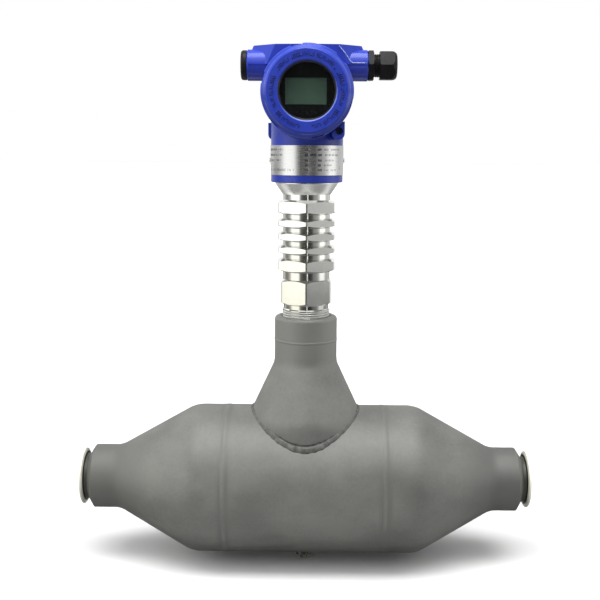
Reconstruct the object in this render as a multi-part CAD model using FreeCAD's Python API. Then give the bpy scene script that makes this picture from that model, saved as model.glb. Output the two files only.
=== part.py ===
import FreeCAD, Part
import math
import os

# Tuning fork density meter: a welded flow chamber with clamp ferrules at both ends, a branch
# on top that holds a finned sensor neck with the fork below it, and a die-cast transmitter
# housing with a display above. Millimetres, +Z up. The flow runs along +X and the display
# faces -Y. Shapes are worked out about the point where the pipe axis meets the sensor axis,
# and are saved with the origin at the centre of the inlet ferrule's face.

V = FreeCAD.Vector

# Flow chamber
FACE_TO_FACE = 405.0
TUBE_R = 66.5
TUBE_HALF = 70.0
WALL = 4.5
CONE_ANGLE = math.radians(29.2)
KNUCKLE_X = 100.4
KNUCKLE_R = 30.0
SPIGOT_R = 28.6
SPIGOT_BEND_R = 20.0
REDUCER_END_X = 196.5
BEVEL_LENGTH = 5.0
BEVEL_ROOT_R = 20.8
REDUCER_BORE_R = 19.5

# Clamp ferrules, nominal bore 38
FERRULE_BORE_R = 19.0
FERRULE_TUBE_R = 20.5
FERRULE_RIM_R = 25.25
FERRULE_RIM_EDGE = 1.6
FERRULE_BACK_ANGLE = math.radians(20)
FERRULE_ROOT_ROUND = 0.8
FERRULE_EDGE_ROUND = 0.3
GASKET_GROOVE_R = 21.75
GASKET_GROOVE_HALF = 1.4
GASKET_GROOVE_DRAFT = 0.3
GASKET_GROOVE_ROUND = 0.8

# Branch and collar
BRANCH_TOP_Z = 129.8
BRANCH_BEND_Z = 109.7
BRANCH_ANGLE = math.radians(24.8)
BRANCH_BIG_R = 50.4
BRANCH_FOOT_Z = 20.0
COLLAR_R = 27.8
COLLAR_TOP_Z = 151.0
COLLAR_ROUND = 3.0
COLLAR_MOUTH = 1.6
THREAD_R = 21.0
THREAD_ROOT_R = 20.4
THREAD_LEAD = 1.0
THREAD_GAP = 0.05

# Weld beads
BEAD_WIDTH = 3.4
BEAD_HEIGHT = 2.2
SEAM_WIDTH = 6.0
SEAM_PROUD = 0.5
SEAM_ROUND = 6.0
COLLAR_SEAM_WIDTH = 2.4
COLLAR_SEAM_ROUND = 2.0

# Drain under the chamber
DRAIN_HOLE_R = 7.0
DRAIN_THREAD_R = 5.0
DRAIN_BOSS_R = 10.5
DRAIN_BOSS_DROP = 2.6
DRAIN_BOSS_SINK = 4.0
DRAIN_BOSS_EDGE = 1.2
DRAIN_HEX = 15.0
DRAIN_HEAD = 6.0

# Sensor neck, from the thread in the collar up to the housing
NECK_BOTTOM_Z = 132.5
RELIEF_Z = 158.2
RELIEF_R = 19.8
LOWER_HEX = 43.6
LOWER_HEX_Z = (161.9, 184.5)
NECK_R = 20.8
FIN_HEX = 50.0
FINS_Z = ((191.0, 203.2), (206.6, 214.9), (218.0, 226.7), (229.8, 238.4), (241.4, 254.2))
FIN_CHAMFER = math.radians(20)
FIN_FACE_INSET = 3.8
FIN_EDGE_ROUND = 2.0
LOWER_HEX_CHAMFER = math.radians(28)
LOWER_HEX_FACE_INSET = 1.4
FLARE_Z = (258.9, 269.0)
FLARE_R = (21.2, 27.7)
FLARE_LIP = 0.6
HEX_FACE_INSET = 0.3
HEX_EDGE_ROUND = 0.8
SWIVEL_R = 21.95
SWIVEL_TOP_Z = 292.0
LOCK_GROOVE_Z = 272.5
LOCK_GROOVE_HALF = (0.8, 2.2)
LOCK_GROOVE_DEPTH = 1.4
NECK_BORE_R = 6.0
HEADER_R = 12.0
HEADER_SEAT_Z = 285.0
HEADER_THICK = 5.0
PIN_COUNT = 4
PIN_R = 0.7
PIN_LENGTH = 8.0
PIN_CIRCLE_R = 6.5

# Tuning fork
STEM_R = 16.0
CAVITY_R = 11.0
CAVITY_FLOOR_Z = 62.0
FORK_ROOT_Z = 42.0
FORK_TIP_Z = -38.0
FORK_TAPER_Z = (48.0, 54.0)
FORK_ROUND = 3.0
TINE_BAR_R = 12.5
TINE_GAP = 8.0
TINE_OUTER_Y = 10.0
TINE_FLAT_Z = 40.0
TINE_TIP_ROUND = 7.0
SLOT_ROOT_Z = 36.0
PIEZO_R = (3.0, 9.5)
PIEZO_THICK = 4.0
PROBE_R = 2.0
PROBE_Z = (48.0, 76.0)
LEAD_R = 2.4

# Transmitter housing
HOUSING_Z = 269.3
BASE_R = 31.4
BASE_EDGE = 0.6
BARREL_Z = 344.5
BARREL_R = 36.5
CAST_EDGE = 0.8
FRONT_MOUTH = 40.0
REAR_MOUTH = 36.0
COMPARTMENT_R = 32.0
COMPARTMENT_ROUND = 2.0
PARTITION_Y = (-16.0, -12.0)
BASE_PASSAGE_Z = 318.0
BASE_BLEND_R = 4.0
ARM_Z = 369.0
ARM_HALF = 51.9
BOSS_R = 13.2
CONDUIT_R = 9.25
ROOF_Z = 385.8
ROOF_DROP = math.radians(0.5)
ROOF_HALF_Y = 14.5
ROOF_CORNER_X = 27.5
ROOF_TIP_X = 47.2
ROOF_DRAFT = 0.45
ROOF_EDGE_ROUND = 1.2
ROOF_TRIM_X = 50.4
PARTING_RIDGE = 0.35
PARTING_RIDGE_HALF = 0.3
PARTING_RIDGE_INSET = 1.5
FRONT_LUG_X = 31.2
REAR_LUG_X = 33.9
LUG_TOP_Z = 320.3
LUG_HOLE = (26.8, 312.6)
LUG_HOLE_R = 3.1
LUG_FOOT_DROP = 7.0
LUG_FOOT_ROUND = 4.8
LUG_INNER_X = 20.6
LUG_REACH = 5.5
LUG_INNER_Y = 2.0
LUG_CLEAR_R = 38.9
LOCK_SCREW_LENGTH = 17.5
LOCK_SCREW_SINK = 2.0
SOCKET_HEX = 3.0
SOCKET_DEPTH = 2.5
SWIVEL_SCREW_GAP = 0.4
SWIVEL_SCREW_SINK = 0.8

# Screwed covers
COVER_R = 38.2
COVER_GAP = 0.4
COVER_FACE_R = 33.3
COVER_EDGE = 0.5
COVER_RIM_ROUND = 2.0
COVER_FACE_ROUND = 0.6
COVER_SPIGOT_R = 31.7
COVER_SPIGOT = 12.0
COVER_CAVITY_R = 29.0
FRONT_COVER_FACE = 57.0
REAR_COVER_FACE = 52.0
REAR_COVER_THICK = 6.0
REAR_CAVITY_ROUND = 3.0
REAR_RECESS_R = 27.0
REAR_RECESS = 1.2
COVER_CHAMFER = 5.2
GRIP_COUNT = 6
GRIP_FIRST = math.radians(103.5)
GRIP_WIDTH = 10.0
GRIP_FLOOR_R = 37.0
GRIP_START = 3.0
SEAL_SEAT_R = 34.7
SEAL_SEAT_DEPTH = 2.8
SEAL_MID_R = 33.3
SEAL_WIRE_R = 1.1
SEAL_LIFT = 0.3

# Window and display
WINDOW_R = 22.5
WINDOW_BEVEL_R = 25.0
WINDOW_LIP = 2.6
GASKET_THICK = 0.5
GASKET_R = 23.1
GLASS_R = 28.0
GLASS_THICK = 7.8
GLASS_EDGE = 0.6
GLASS_POCKET_R = 28.2
RETAINER_R = (24.5, 28.15)
RETAINER_THICK = 3.0
RETAINER_SLOT = (3.0, 1.4)
BEZEL_FACE = 42.0
BEZEL_PLATE = 1.6
DISPLAY_R = 27.5
DISPLAY_BACK = 35.5
DISPLAY_WALL = 1.5
DISPLAY_FLOOR = 1.7
DISPLAY_ROUND = 0.8
LCD_VIEW = (34.2, 21.7)
LCD_SIZE = (38.0, 26.0)
LCD_X = -1.0
LCD_LIFT = 0.35
LCD_THICK = 1.6
KEY_X = (-8.0, 0.0, 8.0)
KEY_DROP = 17.0
KEY_R = 2.0
KEY_FLANGE_R = 2.8
KEY_FLANGE = (1.2, 2.2)
KEY_PROUD = 0.6
KEY_ROUND = 0.5
KEY_GAP = 0.3
BOARD_R = 27.0
BOARD_FACE = 27.6
BOARD_THICK = 1.6
CHIP_SINK = 0.2
CHIPS = ((-12, 0, -6, 6, 1.6), (5, 15, -12, -4, 4.0), (4, 16, 2, 9, 2.2))
POST_COUNT = 3
POST_R = 2.5
POST_CIRCLE_R = 23.5
TERMINAL_BLOCK = (42.0, 14.0, 24.0)
TERMINAL_Z = 340.0
TERMINAL_PITCH = 12.0
TERMINAL_ROUND = 2.0
TERMINAL_STEP = (4.0, 2.0)
TERMINAL_WELL_R = 3.6
TERMINAL_WELL_FLOOR = 4.0
TERMINAL_WELL_DROP = 5.0
TERMINAL_SCREW_R = 3.2
TERMINAL_SCREW = 5.0
TERMINAL_SLOT = (1.0, 1.2)
WIRE_HOLE_R = 1.6
WIRE_HOLE_INSET = 7.0

# Nameplate band
PLATE_Z = (275.7, 300.9)
PLATE_THICK = 0.4
PLATE_HALF_ANGLE = math.radians(98)
RIVET_R = 1.9
RIVET_HEAD = 1.0
RIVET_ROUND = 0.8
RIVET_SEAT = 0.2

# Conduit entries
PLUG_R = 12.6
PLUG_HEAD = 5.2
PLUG_SHANK = 11.0
PLUG_BASE_ROUND = 0.8
PLUG_RIM_ROUND = 2.2
PLUG_DOME = 0.6
PLUG_SOCKET_HEX = 8.0
PLUG_SOCKET = 3.0
ENTRY_THREAD_R = 9.2
GLAND_FLANGE_HEX = 24.6
GLAND_FLANGE = 5.0
GLAND_SHANK = 11.0
GLAND_THREAD_R = 9.4
GLAND_BORE_R = 6.6
GLAND_SEAT_R = 8.0
GLAND_SEAT = 8.5
GLAND_SEAL_GAP = 0.4
GLAND_SEAL = 7.6
GLAND_NUT_HEX = 23.4
GLAND_NUT_GAP = 5.1
GLAND_NUT_LENGTH = 14.8
GLAND_NUT_EDGE = 0.8
GLAND_NUT_NOSE = 4.5
GLAND_NUT_NOSE_INSET = 1.4
GLAND_NUT_NOSE_ROUND = (3.0, 2.6)
GLAND_NUT_DEPTH = 12.0
GLAND_NUT_TAPER = (1.2, 0.4)
GLAND_NUT_MOUTH_R = 6.5
GLAND_NUT_THREAD_R = 10.05

# Length by which a cutting shape runs past the face that it opens
OVERCUT = 1.0


def outline(corners):
    """Closed wire in the XZ plane; a third value on a corner rounds it with a tangent arc."""
    stops = []
    for i, corner in enumerate(corners):
        here = V(corner[0], 0, corner[1])
        if len(corner) == 2:
            stops.append((here, None, here))
            continue
        last = corners[i - 1]
        following = corners[(i + 1) % len(corners)]
        back = (V(last[0], 0, last[1]) - here).normalize()
        ahead = (V(following[0], 0, following[1]) - here).normalize()
        half = back.getAngle(ahead) / 2
        reach = corner[2] / math.tan(half)
        inward = (back + ahead).normalize()
        middle = here + inward * (corner[2] / math.sin(half) - corner[2])
        stops.append((here + back * reach, middle, here + ahead * reach))
    edges = []
    for i, (start, middle, end) in enumerate(stops):
        if middle is not None:
            edges.append(Part.Arc(start, middle, end).toShape())
        ahead = stops[(i + 1) % len(stops)][0]
        if end.distanceToPoint(ahead) > 1e-6:
            edges.append(Part.makeLine(end, ahead))
    return Part.Wire(edges)


def turned(corners):
    """Solid of revolution about Z from (radius, height) corners."""
    return Part.Face(outline(corners)).revolve(V(0, 0, 0), V(0, 0, 1), 360)


def plate(corners, y0, y1):
    """Flat profile in the XZ plane, made thick from y0 to y1."""
    flat = Part.Face(outline(corners))
    flat.translate(V(0, y0, 0))
    return flat.extrude(V(0, y1 - y0, 0))


def rod(radius, z0, z1):
    """Plain cylinder on the Z axis."""
    return Part.makeCylinder(radius, z1 - z0, V(0, 0, z0))


def ring(inner, outer, z0, z1):
    """Plain tube on the Z axis."""
    return rod(outer, z0, z1).cut(rod(inner, z0, z1))


def block(x0, x1, y0, y1, z0, z1):
    """Box between two corners."""
    return Part.makeBox(x1 - x0, y1 - y0, z1 - z0, V(x0, y0, z0))


def hexagon(across, z0, z1):
    """Hexagonal prism on the Z axis, with corners towards -Y and +Y."""
    corner_r = across / math.sqrt(3)
    angles = [math.radians(30 + 60 * i) for i in range(6)]
    points = [V(corner_r * math.cos(a), corner_r * math.sin(a), z0) for a in angles]
    return Part.Face(Part.makePolygon(points + points[:1])).extrude(V(0, 0, z1 - z0))


def chamfered_hex(across, z0, z1, angle, inset, edge_round):
    """Hexagon with rounded upright edges, turned down at both ends as on a nut."""
    flat_r = across / 2 - inset
    corner_r = across / math.sqrt(3)
    drop = (corner_r - flat_r) * math.tan(angle)
    lens = [(0, z0), (flat_r, z0), (corner_r, z0 + drop), (corner_r, z1 - drop), (flat_r, z1), (0, z1)]
    prism = hexagon(across, z0, z1)
    uprights = [edge for edge in prism.Edges if edge.BoundBox.ZLength > (z1 - z0) / 2]
    return prism.makeFillet(edge_round, uprights).common(turned(lens))


def along_x(shape, side=1):
    """Turns a shape from the Z axis to the +X or -X axis."""
    turned_shape = shape.copy()
    turned_shape.rotate(V(0, 0, 0), V(0, 1, 0), 90 * side)
    return turned_shape


def along_y(shape, side):
    """Turns a shape from the Z axis to the barrel's axis, facing the front (-1) or the rear (1)."""
    turned_shape = shape.copy()
    turned_shape.rotate(V(0, 0, 0), V(1, 0, 0), -90 * side)
    turned_shape.translate(V(0, 0, BARREL_Z))
    return turned_shape


def half_turn(shape):
    """Turns a shape half round the sensor axis."""
    turned_shape = shape.copy()
    turned_shape.rotate(V(0, 0, 0), V(0, 0, 1), 180)
    return turned_shape


def keep_below(shape, point, normal):
    """Cuts away what lies beyond a plane on its normal's side."""
    size = 400.0
    beyond = Part.makeBox(size, size, size, V(-size / 2, -size / 2, 0))
    beyond.Placement = FreeCAD.Placement(point, FreeCAD.Rotation(V(0, 0, 1), normal))
    return shape.cut(beyond)


def save(name, shape):
    """Writes one named piece, moved to the inlet face's frame."""
    placed = shape.copy()
    placed.translate(V(FACE_TO_FACE / 2, 0, 0))
    placed.exportStep("parts/" + name + ".step")


# Flow chamber: tube, reducers, ferrules


def branch_profile(wall):
    """Branch outline from its axis out, thinner by a wall."""
    small = COLLAR_R - wall
    big = BRANCH_BIG_R - wall
    bend_z = BRANCH_BEND_Z + wall * math.tan(BRANCH_ANGLE / 2)
    knuckle_z = bend_z - (big - small) / math.tan(BRANCH_ANGLE)
    return [
        (0, BRANCH_FOOT_Z),
        (big, BRANCH_FOOT_Z),
        (big, knuckle_z, KNUCKLE_R - wall),
        (small, bend_z, SPIGOT_BEND_R + wall),
        (small, BRANCH_TOP_Z),
        (0, BRANCH_TOP_Z),
    ]


def centre_tube():
    tube = along_x(ring(TUBE_R - WALL, TUBE_R, -TUBE_HALF, TUBE_HALF))
    tube = tube.cut(turned(branch_profile(WALL)))
    return tube.cut(rod(DRAIN_HOLE_R, -TUBE_R - OVERCUT, 0))


def reducer(side):
    inner_r = TUBE_R - WALL
    inner_knuckle = KNUCKLE_X - WALL * math.tan(CONE_ANGLE / 2)
    throat = inner_knuckle + (inner_r - REDUCER_BORE_R) / math.tan(CONE_ANGLE)
    cone_end = KNUCKLE_X + (TUBE_R - SPIGOT_R) / math.tan(CONE_ANGLE)
    shell = [
        (inner_r, TUBE_HALF),
        (TUBE_R, TUBE_HALF),
        (TUBE_R, KNUCKLE_X, KNUCKLE_R),
        (SPIGOT_R, cone_end, SPIGOT_BEND_R),
        (SPIGOT_R, REDUCER_END_X - BEVEL_LENGTH),
        (BEVEL_ROOT_R, REDUCER_END_X),
        (REDUCER_BORE_R, REDUCER_END_X),
        (REDUCER_BORE_R, throat),
        (inner_r, inner_knuckle, KNUCKLE_R - WALL),
    ]
    return along_x(turned(shell), side)


def ferrule(side):
    face = FACE_TO_FACE / 2
    back = face - FERRULE_RIM_EDGE - (FERRULE_RIM_R - FERRULE_TUBE_R) * math.tan(FERRULE_BACK_ANGLE)
    groove_in = GASKET_GROOVE_R - GASKET_GROOVE_HALF
    groove_out = GASKET_GROOVE_R + GASKET_GROOVE_HALF
    section = [
        (FERRULE_BORE_R, REDUCER_END_X),
        (FERRULE_TUBE_R, REDUCER_END_X),
        (FERRULE_TUBE_R, back, FERRULE_ROOT_ROUND),
        (FERRULE_RIM_R, face - FERRULE_RIM_EDGE, FERRULE_EDGE_ROUND),
        (FERRULE_RIM_R, face, FERRULE_EDGE_ROUND),
        (groove_out, face),
        (groove_out - GASKET_GROOVE_DRAFT, face - GASKET_GROOVE_HALF, GASKET_GROOVE_ROUND),
        (groove_in + GASKET_GROOVE_DRAFT, face - GASKET_GROOVE_HALF, GASKET_GROOVE_ROUND),
        (groove_in, face),
        (FERRULE_BORE_R, face),
    ]
    return along_x(turned(section), side)


# Branch, collar and welds


def chamber_solid():
    """The tube's outer cylinder, long enough to cut the branch's saddle."""
    return along_x(rod(TUBE_R, -TUBE_HALF, TUBE_HALF))


def branch_reducer():
    shell = turned(branch_profile(0)).cut(turned(branch_profile(WALL)))
    return shell.cut(chamber_solid())


def branch_collar():
    section = [
        (COLLAR_R - WALL, BRANCH_TOP_Z),
        (COLLAR_R, BRANCH_TOP_Z),
        (COLLAR_R, COLLAR_TOP_Z, COLLAR_ROUND),
        (THREAD_R + COLLAR_MOUTH, COLLAR_TOP_Z),
        (THREAD_R + THREAD_GAP, COLLAR_TOP_Z - COLLAR_MOUTH),
        (THREAD_R + THREAD_GAP, NECK_BOTTOM_Z + THREAD_LEAD),
    ]
    return turned(section)


def branch_weld():
    """Bead round the saddle: a wider branch cut from a thin shell over the tube."""
    over = along_x(rod(TUBE_R + BEAD_HEIGHT, -TUBE_HALF, TUBE_HALF))
    wide = turned(branch_profile(-BEAD_WIDTH))
    shell = over.common(wide).cut(chamber_solid())
    bead = shell.cut(turned(branch_profile(0)))
    return max(bead.Solids, key=lambda solid: solid.Volume)


def seam_weld(x):
    """Low crowned cap over a ring seam of the chamber."""
    half = SEAM_WIDTH / 2
    crown = [(TUBE_R, -half), (TUBE_R + SEAM_PROUD, 0, SEAM_ROUND), (TUBE_R, half)]
    seam = turned(crown)
    seam.translate(V(0, 0, x))
    return along_x(seam)


def collar_weld():
    half = COLLAR_SEAM_WIDTH / 2
    crown = [
        (COLLAR_R, BRANCH_TOP_Z - half),
        (COLLAR_R + SEAM_PROUD, BRANCH_TOP_Z, COLLAR_SEAM_ROUND),
        (COLLAR_R, BRANCH_TOP_Z + half),
    ]
    return turned(crown)


def drain_boss():
    floor = -TUBE_R - DRAIN_BOSS_DROP
    boss = turned(
        [
            (DRAIN_THREAD_R, floor),
            (DRAIN_BOSS_R - DRAIN_BOSS_EDGE, floor),
            (DRAIN_BOSS_R, floor + DRAIN_BOSS_EDGE),
            (DRAIN_BOSS_R, -TUBE_R + DRAIN_BOSS_SINK),
            (DRAIN_THREAD_R, -TUBE_R + DRAIN_BOSS_SINK),
        ]
    )
    saddle = boss.cut(chamber_solid())
    sleeve = ring(DRAIN_THREAD_R, DRAIN_HOLE_R, -TUBE_R - DRAIN_BOSS_DROP / 2, -TUBE_R + WALL)
    return saddle.fuse(sleeve).removeSplitter()


def drain_plug():
    floor = -TUBE_R - DRAIN_BOSS_DROP
    head = chamfered_hex(
        DRAIN_HEX, floor - DRAIN_HEAD, floor, LOWER_HEX_CHAMFER, HEX_FACE_INSET, HEX_EDGE_ROUND
    )
    shank = rod(DRAIN_THREAD_R - THREAD_GAP, floor, -TUBE_R + WALL)
    return head.fuse(shank).removeSplitter()


# Sensor neck and fork


def sensor_neck():
    core = rod(NECK_R, sum(LOWER_HEX_Z) / 2, FLARE_Z[0])
    shank = turned(
        [
            (0, NECK_BOTTOM_Z),
            (THREAD_R - THREAD_LEAD, NECK_BOTTOM_Z),
            (THREAD_R, NECK_BOTTOM_Z + THREAD_LEAD),
            (THREAD_R, COLLAR_TOP_Z - COLLAR_MOUTH),
            (THREAD_ROOT_R, COLLAR_TOP_Z - COLLAR_MOUTH),
            (THREAD_ROOT_R, RELIEF_Z - THREAD_LEAD),
            (RELIEF_R, RELIEF_Z),
            (RELIEF_R, LOWER_HEX_Z[0]),
            (0, LOWER_HEX_Z[0]),
        ]
    )
    flare = turned(
        [
            (0, FLARE_Z[0]),
            (FLARE_R[0], FLARE_Z[0]),
            (FLARE_R[1], FLARE_Z[1] - FLARE_LIP),
            (FLARE_R[1], FLARE_Z[1]),
            (SWIVEL_R, FLARE_Z[1]),
            (SWIVEL_R, LOCK_GROOVE_Z - LOCK_GROOVE_HALF[1]),
            (SWIVEL_R - LOCK_GROOVE_DEPTH, LOCK_GROOVE_Z - LOCK_GROOVE_HALF[0]),
            (SWIVEL_R - LOCK_GROOVE_DEPTH, LOCK_GROOVE_Z + LOCK_GROOVE_HALF[0]),
            (SWIVEL_R, LOCK_GROOVE_Z + LOCK_GROOVE_HALF[1]),
            (SWIVEL_R, SWIVEL_TOP_Z - THREAD_LEAD),
            (SWIVEL_R - THREAD_LEAD, SWIVEL_TOP_Z),
            (0, SWIVEL_TOP_Z),
        ]
    )
    spanner_hex = chamfered_hex(
        LOWER_HEX, *LOWER_HEX_Z, LOWER_HEX_CHAMFER, LOWER_HEX_FACE_INSET, FIN_EDGE_ROUND
    )
    fins = [
        chamfered_hex(FIN_HEX, *heights, FIN_CHAMFER, FIN_FACE_INSET, FIN_EDGE_ROUND)
        for heights in FINS_Z
    ]
    neck = shank.fuse([spanner_hex, core, flare]).fuse(fins).removeSplitter()
    neck = neck.cut(rod(NECK_BORE_R, NECK_BOTTOM_Z, SWIVEL_TOP_Z))
    return neck.cut(rod(HEADER_R, HEADER_SEAT_Z, SWIVEL_TOP_Z))


def tuning_fork():
    stem = turned(
        [
            (0, SLOT_ROOT_Z),
            (TINE_BAR_R, SLOT_ROOT_Z),
            (TINE_BAR_R, FORK_TAPER_Z[0], FORK_ROUND),
            (STEM_R, FORK_TAPER_Z[1], FORK_ROUND),
            (STEM_R, NECK_BOTTOM_Z),
            (0, NECK_BOTTOM_Z),
        ]
    )
    bar = turned(
        [
            (0, FORK_TIP_Z),
            (TINE_BAR_R, FORK_TIP_Z, TINE_TIP_ROUND),
            (TINE_BAR_R, FORK_ROOT_Z),
            (0, FORK_ROOT_Z),
        ]
    )
    reach = TINE_BAR_R + OVERCUT
    tip = FORK_TIP_Z - OVERCUT
    half_gap = TINE_GAP / 2
    slot = block(-reach, reach, -half_gap, half_gap, tip, SLOT_ROOT_Z)
    slot_root = along_x(rod(half_gap, -reach, reach))
    slot_root.translate(V(0, 0, SLOT_ROOT_Z))
    flats = [
        block(-reach, reach, TINE_OUTER_Y, reach, tip, TINE_FLAT_Z),
        block(-reach, reach, -reach, -TINE_OUTER_Y, tip, TINE_FLAT_Z),
    ]
    fork = stem.fuse(bar).removeSplitter().cut([slot, slot_root] + flats)
    fork = fork.cut(rod(CAVITY_R, CAVITY_FLOOR_Z, NECK_BOTTOM_Z))
    return fork.cut(rod(PROBE_R, PROBE_Z[0], CAVITY_FLOOR_Z))


def piezo(z):
    """One ceramic ring of the stack on the fork's diaphragm."""
    return ring(*PIEZO_R, z, z + PIEZO_THICK)


def signal_lead():
    return rod(LEAD_R, PROBE_Z[1], HEADER_SEAT_Z)


def feedthrough():
    """Sealed header with four pins on the top of the neck."""
    top = HEADER_SEAT_Z + HEADER_THICK
    disc = rod(HEADER_R, HEADER_SEAT_Z, top)
    pins = []
    for i in range(PIN_COUNT):
        angle = 2 * math.pi * (i + 0.5) / PIN_COUNT
        pin = rod(PIN_R, HEADER_SEAT_Z, top + PIN_LENGTH)
        pin.translate(V(PIN_CIRCLE_R * math.cos(angle), PIN_CIRCLE_R * math.sin(angle), 0))
        pins.append(pin)
    return disc.fuse(pins).removeSplitter()


# Transmitter housing


def roof():
    """Roof over the conduit bosses: a drafted six-sided block with a slightly crowned top."""
    skirt_x = ROOF_TIP_X + ROOF_DRAFT * (ROOF_Z - ARM_Z) + OVERCUT
    body = block(-skirt_x, skirt_x, -ROOF_HALF_Y, ROOF_HALF_Y, ARM_Z, ROOF_Z + OVERCUT)
    end_z = ROOF_Z - ROOF_TIP_X * math.tan(ROOF_DROP)
    slope = (ROOF_TIP_X - ROOF_CORNER_X) / ROOF_HALF_Y
    for side in (-1, 1):
        crown = V(side * math.sin(ROOF_DROP), 0, math.cos(ROOF_DROP))
        body = keep_below(body, V(0, 0, ROOF_Z), crown)
        for face in (-1, 1):
            flank = V(side, face * slope, ROOF_DRAFT).normalize()
            body = keep_below(body, V(side * ROOF_TIP_X, 0, end_z), flank)
    uprights = [edge for edge in body.Edges if edge.BoundBox.ZLength > (end_z - ARM_Z) / 2]
    body = body.makeFillet(ROOF_EDGE_ROUND, uprights)
    return body.common(block(-ROOF_TRIM_X, ROOF_TRIM_X, -ROOF_HALF_Y, ROOF_HALF_Y, ARM_Z, ROOF_Z))


def conduit_bosses():
    boss = along_x(
        turned(
            [
                (0, -ARM_HALF),
                (BOSS_R - CAST_EDGE, -ARM_HALF),
                (BOSS_R, -ARM_HALF + CAST_EDGE),
                (BOSS_R, ARM_HALF - CAST_EDGE),
                (BOSS_R - CAST_EDGE, ARM_HALF),
                (0, ARM_HALF),
            ]
        )
    )
    boss.translate(V(0, 0, ARM_Z))
    ridge_y = BOSS_R + PARTING_RIDGE
    ridge_x = ARM_HALF - PARTING_RIDGE_INSET
    low = ARM_Z - PARTING_RIDGE_HALF
    high = ARM_Z + PARTING_RIDGE_HALF
    return boss.fuse(block(-ridge_x, ridge_x, -ridge_y, ridge_y, low, high))


def lock_lug(mouth, outer_x):
    """Lug beside a cover: flat outer side, round foot, hollowed to clear the cover."""
    foot_z = LUG_HOLE[1] - LUG_FOOT_DROP
    lug = plate(
        [
            (LUG_INNER_X, LUG_TOP_Z),
            (LUG_INNER_X, foot_z, LUG_FOOT_ROUND),
            (outer_x, foot_z, LUG_FOOT_ROUND),
            (outer_x, LUG_TOP_Z),
        ],
        -mouth - LUG_REACH,
        -LUG_INNER_Y,
    )
    return lug.cut(along_y(rod(LUG_CLEAR_R, mouth, mouth + LUG_REACH + OVERCUT), -1))


def lock_hole(mouth):
    face = mouth + LUG_REACH
    hole = along_y(rod(LUG_HOLE_R, face - LOCK_SCREW_SINK - LOCK_SCREW_LENGTH, face + OVERCUT), -1)
    hole.translate(V(LUG_HOLE[0], 0, LUG_HOLE[1] - BARREL_Z))
    return hole


def lock_screw(mouth):
    """Socket screw sunk in the lug, with a hexagonal key recess."""
    head = mouth + LUG_REACH - LOCK_SCREW_SINK
    body = rod(LUG_HOLE_R, head - LOCK_SCREW_LENGTH, head)
    screw = along_y(body.cut(hexagon(SOCKET_HEX, head - SOCKET_DEPTH, head)), -1)
    screw.translate(V(LUG_HOLE[0], 0, LUG_HOLE[1] - BARREL_Z))
    return screw


def compartment(mouth, floor, side):
    """Round compartment with a seal seat at its mouth."""
    return along_y(
        turned(
            [
                (0, floor),
                (COMPARTMENT_R, floor, COMPARTMENT_ROUND),
                (COMPARTMENT_R, mouth - SEAL_SEAT_DEPTH),
                (SEAL_SEAT_R, mouth - SEAL_SEAT_DEPTH),
                (SEAL_SEAT_R, mouth + OVERCUT),
                (0, mouth + OVERCUT),
            ]
        ),
        side,
    )


def near_saddle(edge):
    """True for the edges where the round base runs into the barrel."""
    low = BARREL_Z - BARREL_R
    middle = edge.CenterOfMass
    return low < middle.z < BARREL_Z and edge.BoundBox.ZLength > BASE_BLEND_R


def housing():
    barrel = along_y(
        turned(
            [
                (0, -REAR_MOUTH),
                (BARREL_R - CAST_EDGE, -REAR_MOUTH),
                (BARREL_R, -REAR_MOUTH + CAST_EDGE),
                (BARREL_R, FRONT_MOUTH - CAST_EDGE),
                (BARREL_R - CAST_EDGE, FRONT_MOUTH),
                (0, FRONT_MOUTH),
            ]
        ),
        -1,
    )
    base = turned(
        [
            (0, HOUSING_Z),
            (BASE_R - BASE_EDGE, HOUSING_Z),
            (BASE_R, HOUSING_Z + BASE_EDGE),
            (BASE_R, BARREL_Z),
            (0, BARREL_Z),
        ]
    )
    body = barrel.fuse(base).removeSplitter()
    body = body.makeFillet(BASE_BLEND_R, [edge for edge in body.Edges if near_saddle(edge)])
    front_lug = lock_lug(FRONT_MOUTH, FRONT_LUG_X)
    rear_lug = half_turn(lock_lug(REAR_MOUTH, REAR_LUG_X))
    body = body.fuse([roof(), conduit_bosses(), front_lug, rear_lug])
    conduit = along_x(rod(CONDUIT_R, -ARM_HALF - OVERCUT, ARM_HALF + OVERCUT))
    conduit.translate(V(0, 0, ARM_Z))
    conduit = conduit.cut(block(-ARM_HALF, ARM_HALF, -BARREL_R, PARTITION_Y[1], HOUSING_Z, ROOF_Z))
    swivel_screw_hole = along_y(rod(LUG_HOLE_R, SWIVEL_R - OVERCUT, BASE_R + OVERCUT), 1)
    swivel_screw_hole.translate(V(0, 0, LOCK_GROOVE_Z - BARREL_Z))
    body = body.cut(
        [
            compartment(FRONT_MOUTH, -PARTITION_Y[0], -1),
            compartment(REAR_MOUTH, PARTITION_Y[1], 1),
            conduit,
            rod(SWIVEL_R + THREAD_GAP, HOUSING_Z - OVERCUT, BASE_PASSAGE_Z),
            lock_hole(FRONT_MOUTH),
            half_turn(lock_hole(REAR_MOUTH)),
            swivel_screw_hole,
        ]
    )
    return body.removeSplitter()


def swivel_lock_screw():
    """Set screw in the foot of the housing, over the groove of the neck."""
    head = BASE_R - SWIVEL_SCREW_SINK
    body = rod(LUG_HOLE_R, SWIVEL_R + SWIVEL_SCREW_GAP, head)
    screw = along_y(body.cut(hexagon(SOCKET_HEX, head - SOCKET_DEPTH, head)), 1)
    screw.translate(V(0, 0, LOCK_GROOVE_Z - BARREL_Z))
    return screw


def nameplate():
    """Thin band bent round the front of the base."""
    band = ring(BASE_R, BASE_R + PLATE_THICK, *PLATE_Z)
    behind = BASE_R * math.sin(PLATE_HALF_ANGLE - math.pi / 2)
    reach = BASE_R + OVERCUT
    return band.cut(block(-reach, reach, behind, reach, PLATE_Z[0] - OVERCUT, PLATE_Z[1] + OVERCUT))


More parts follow.
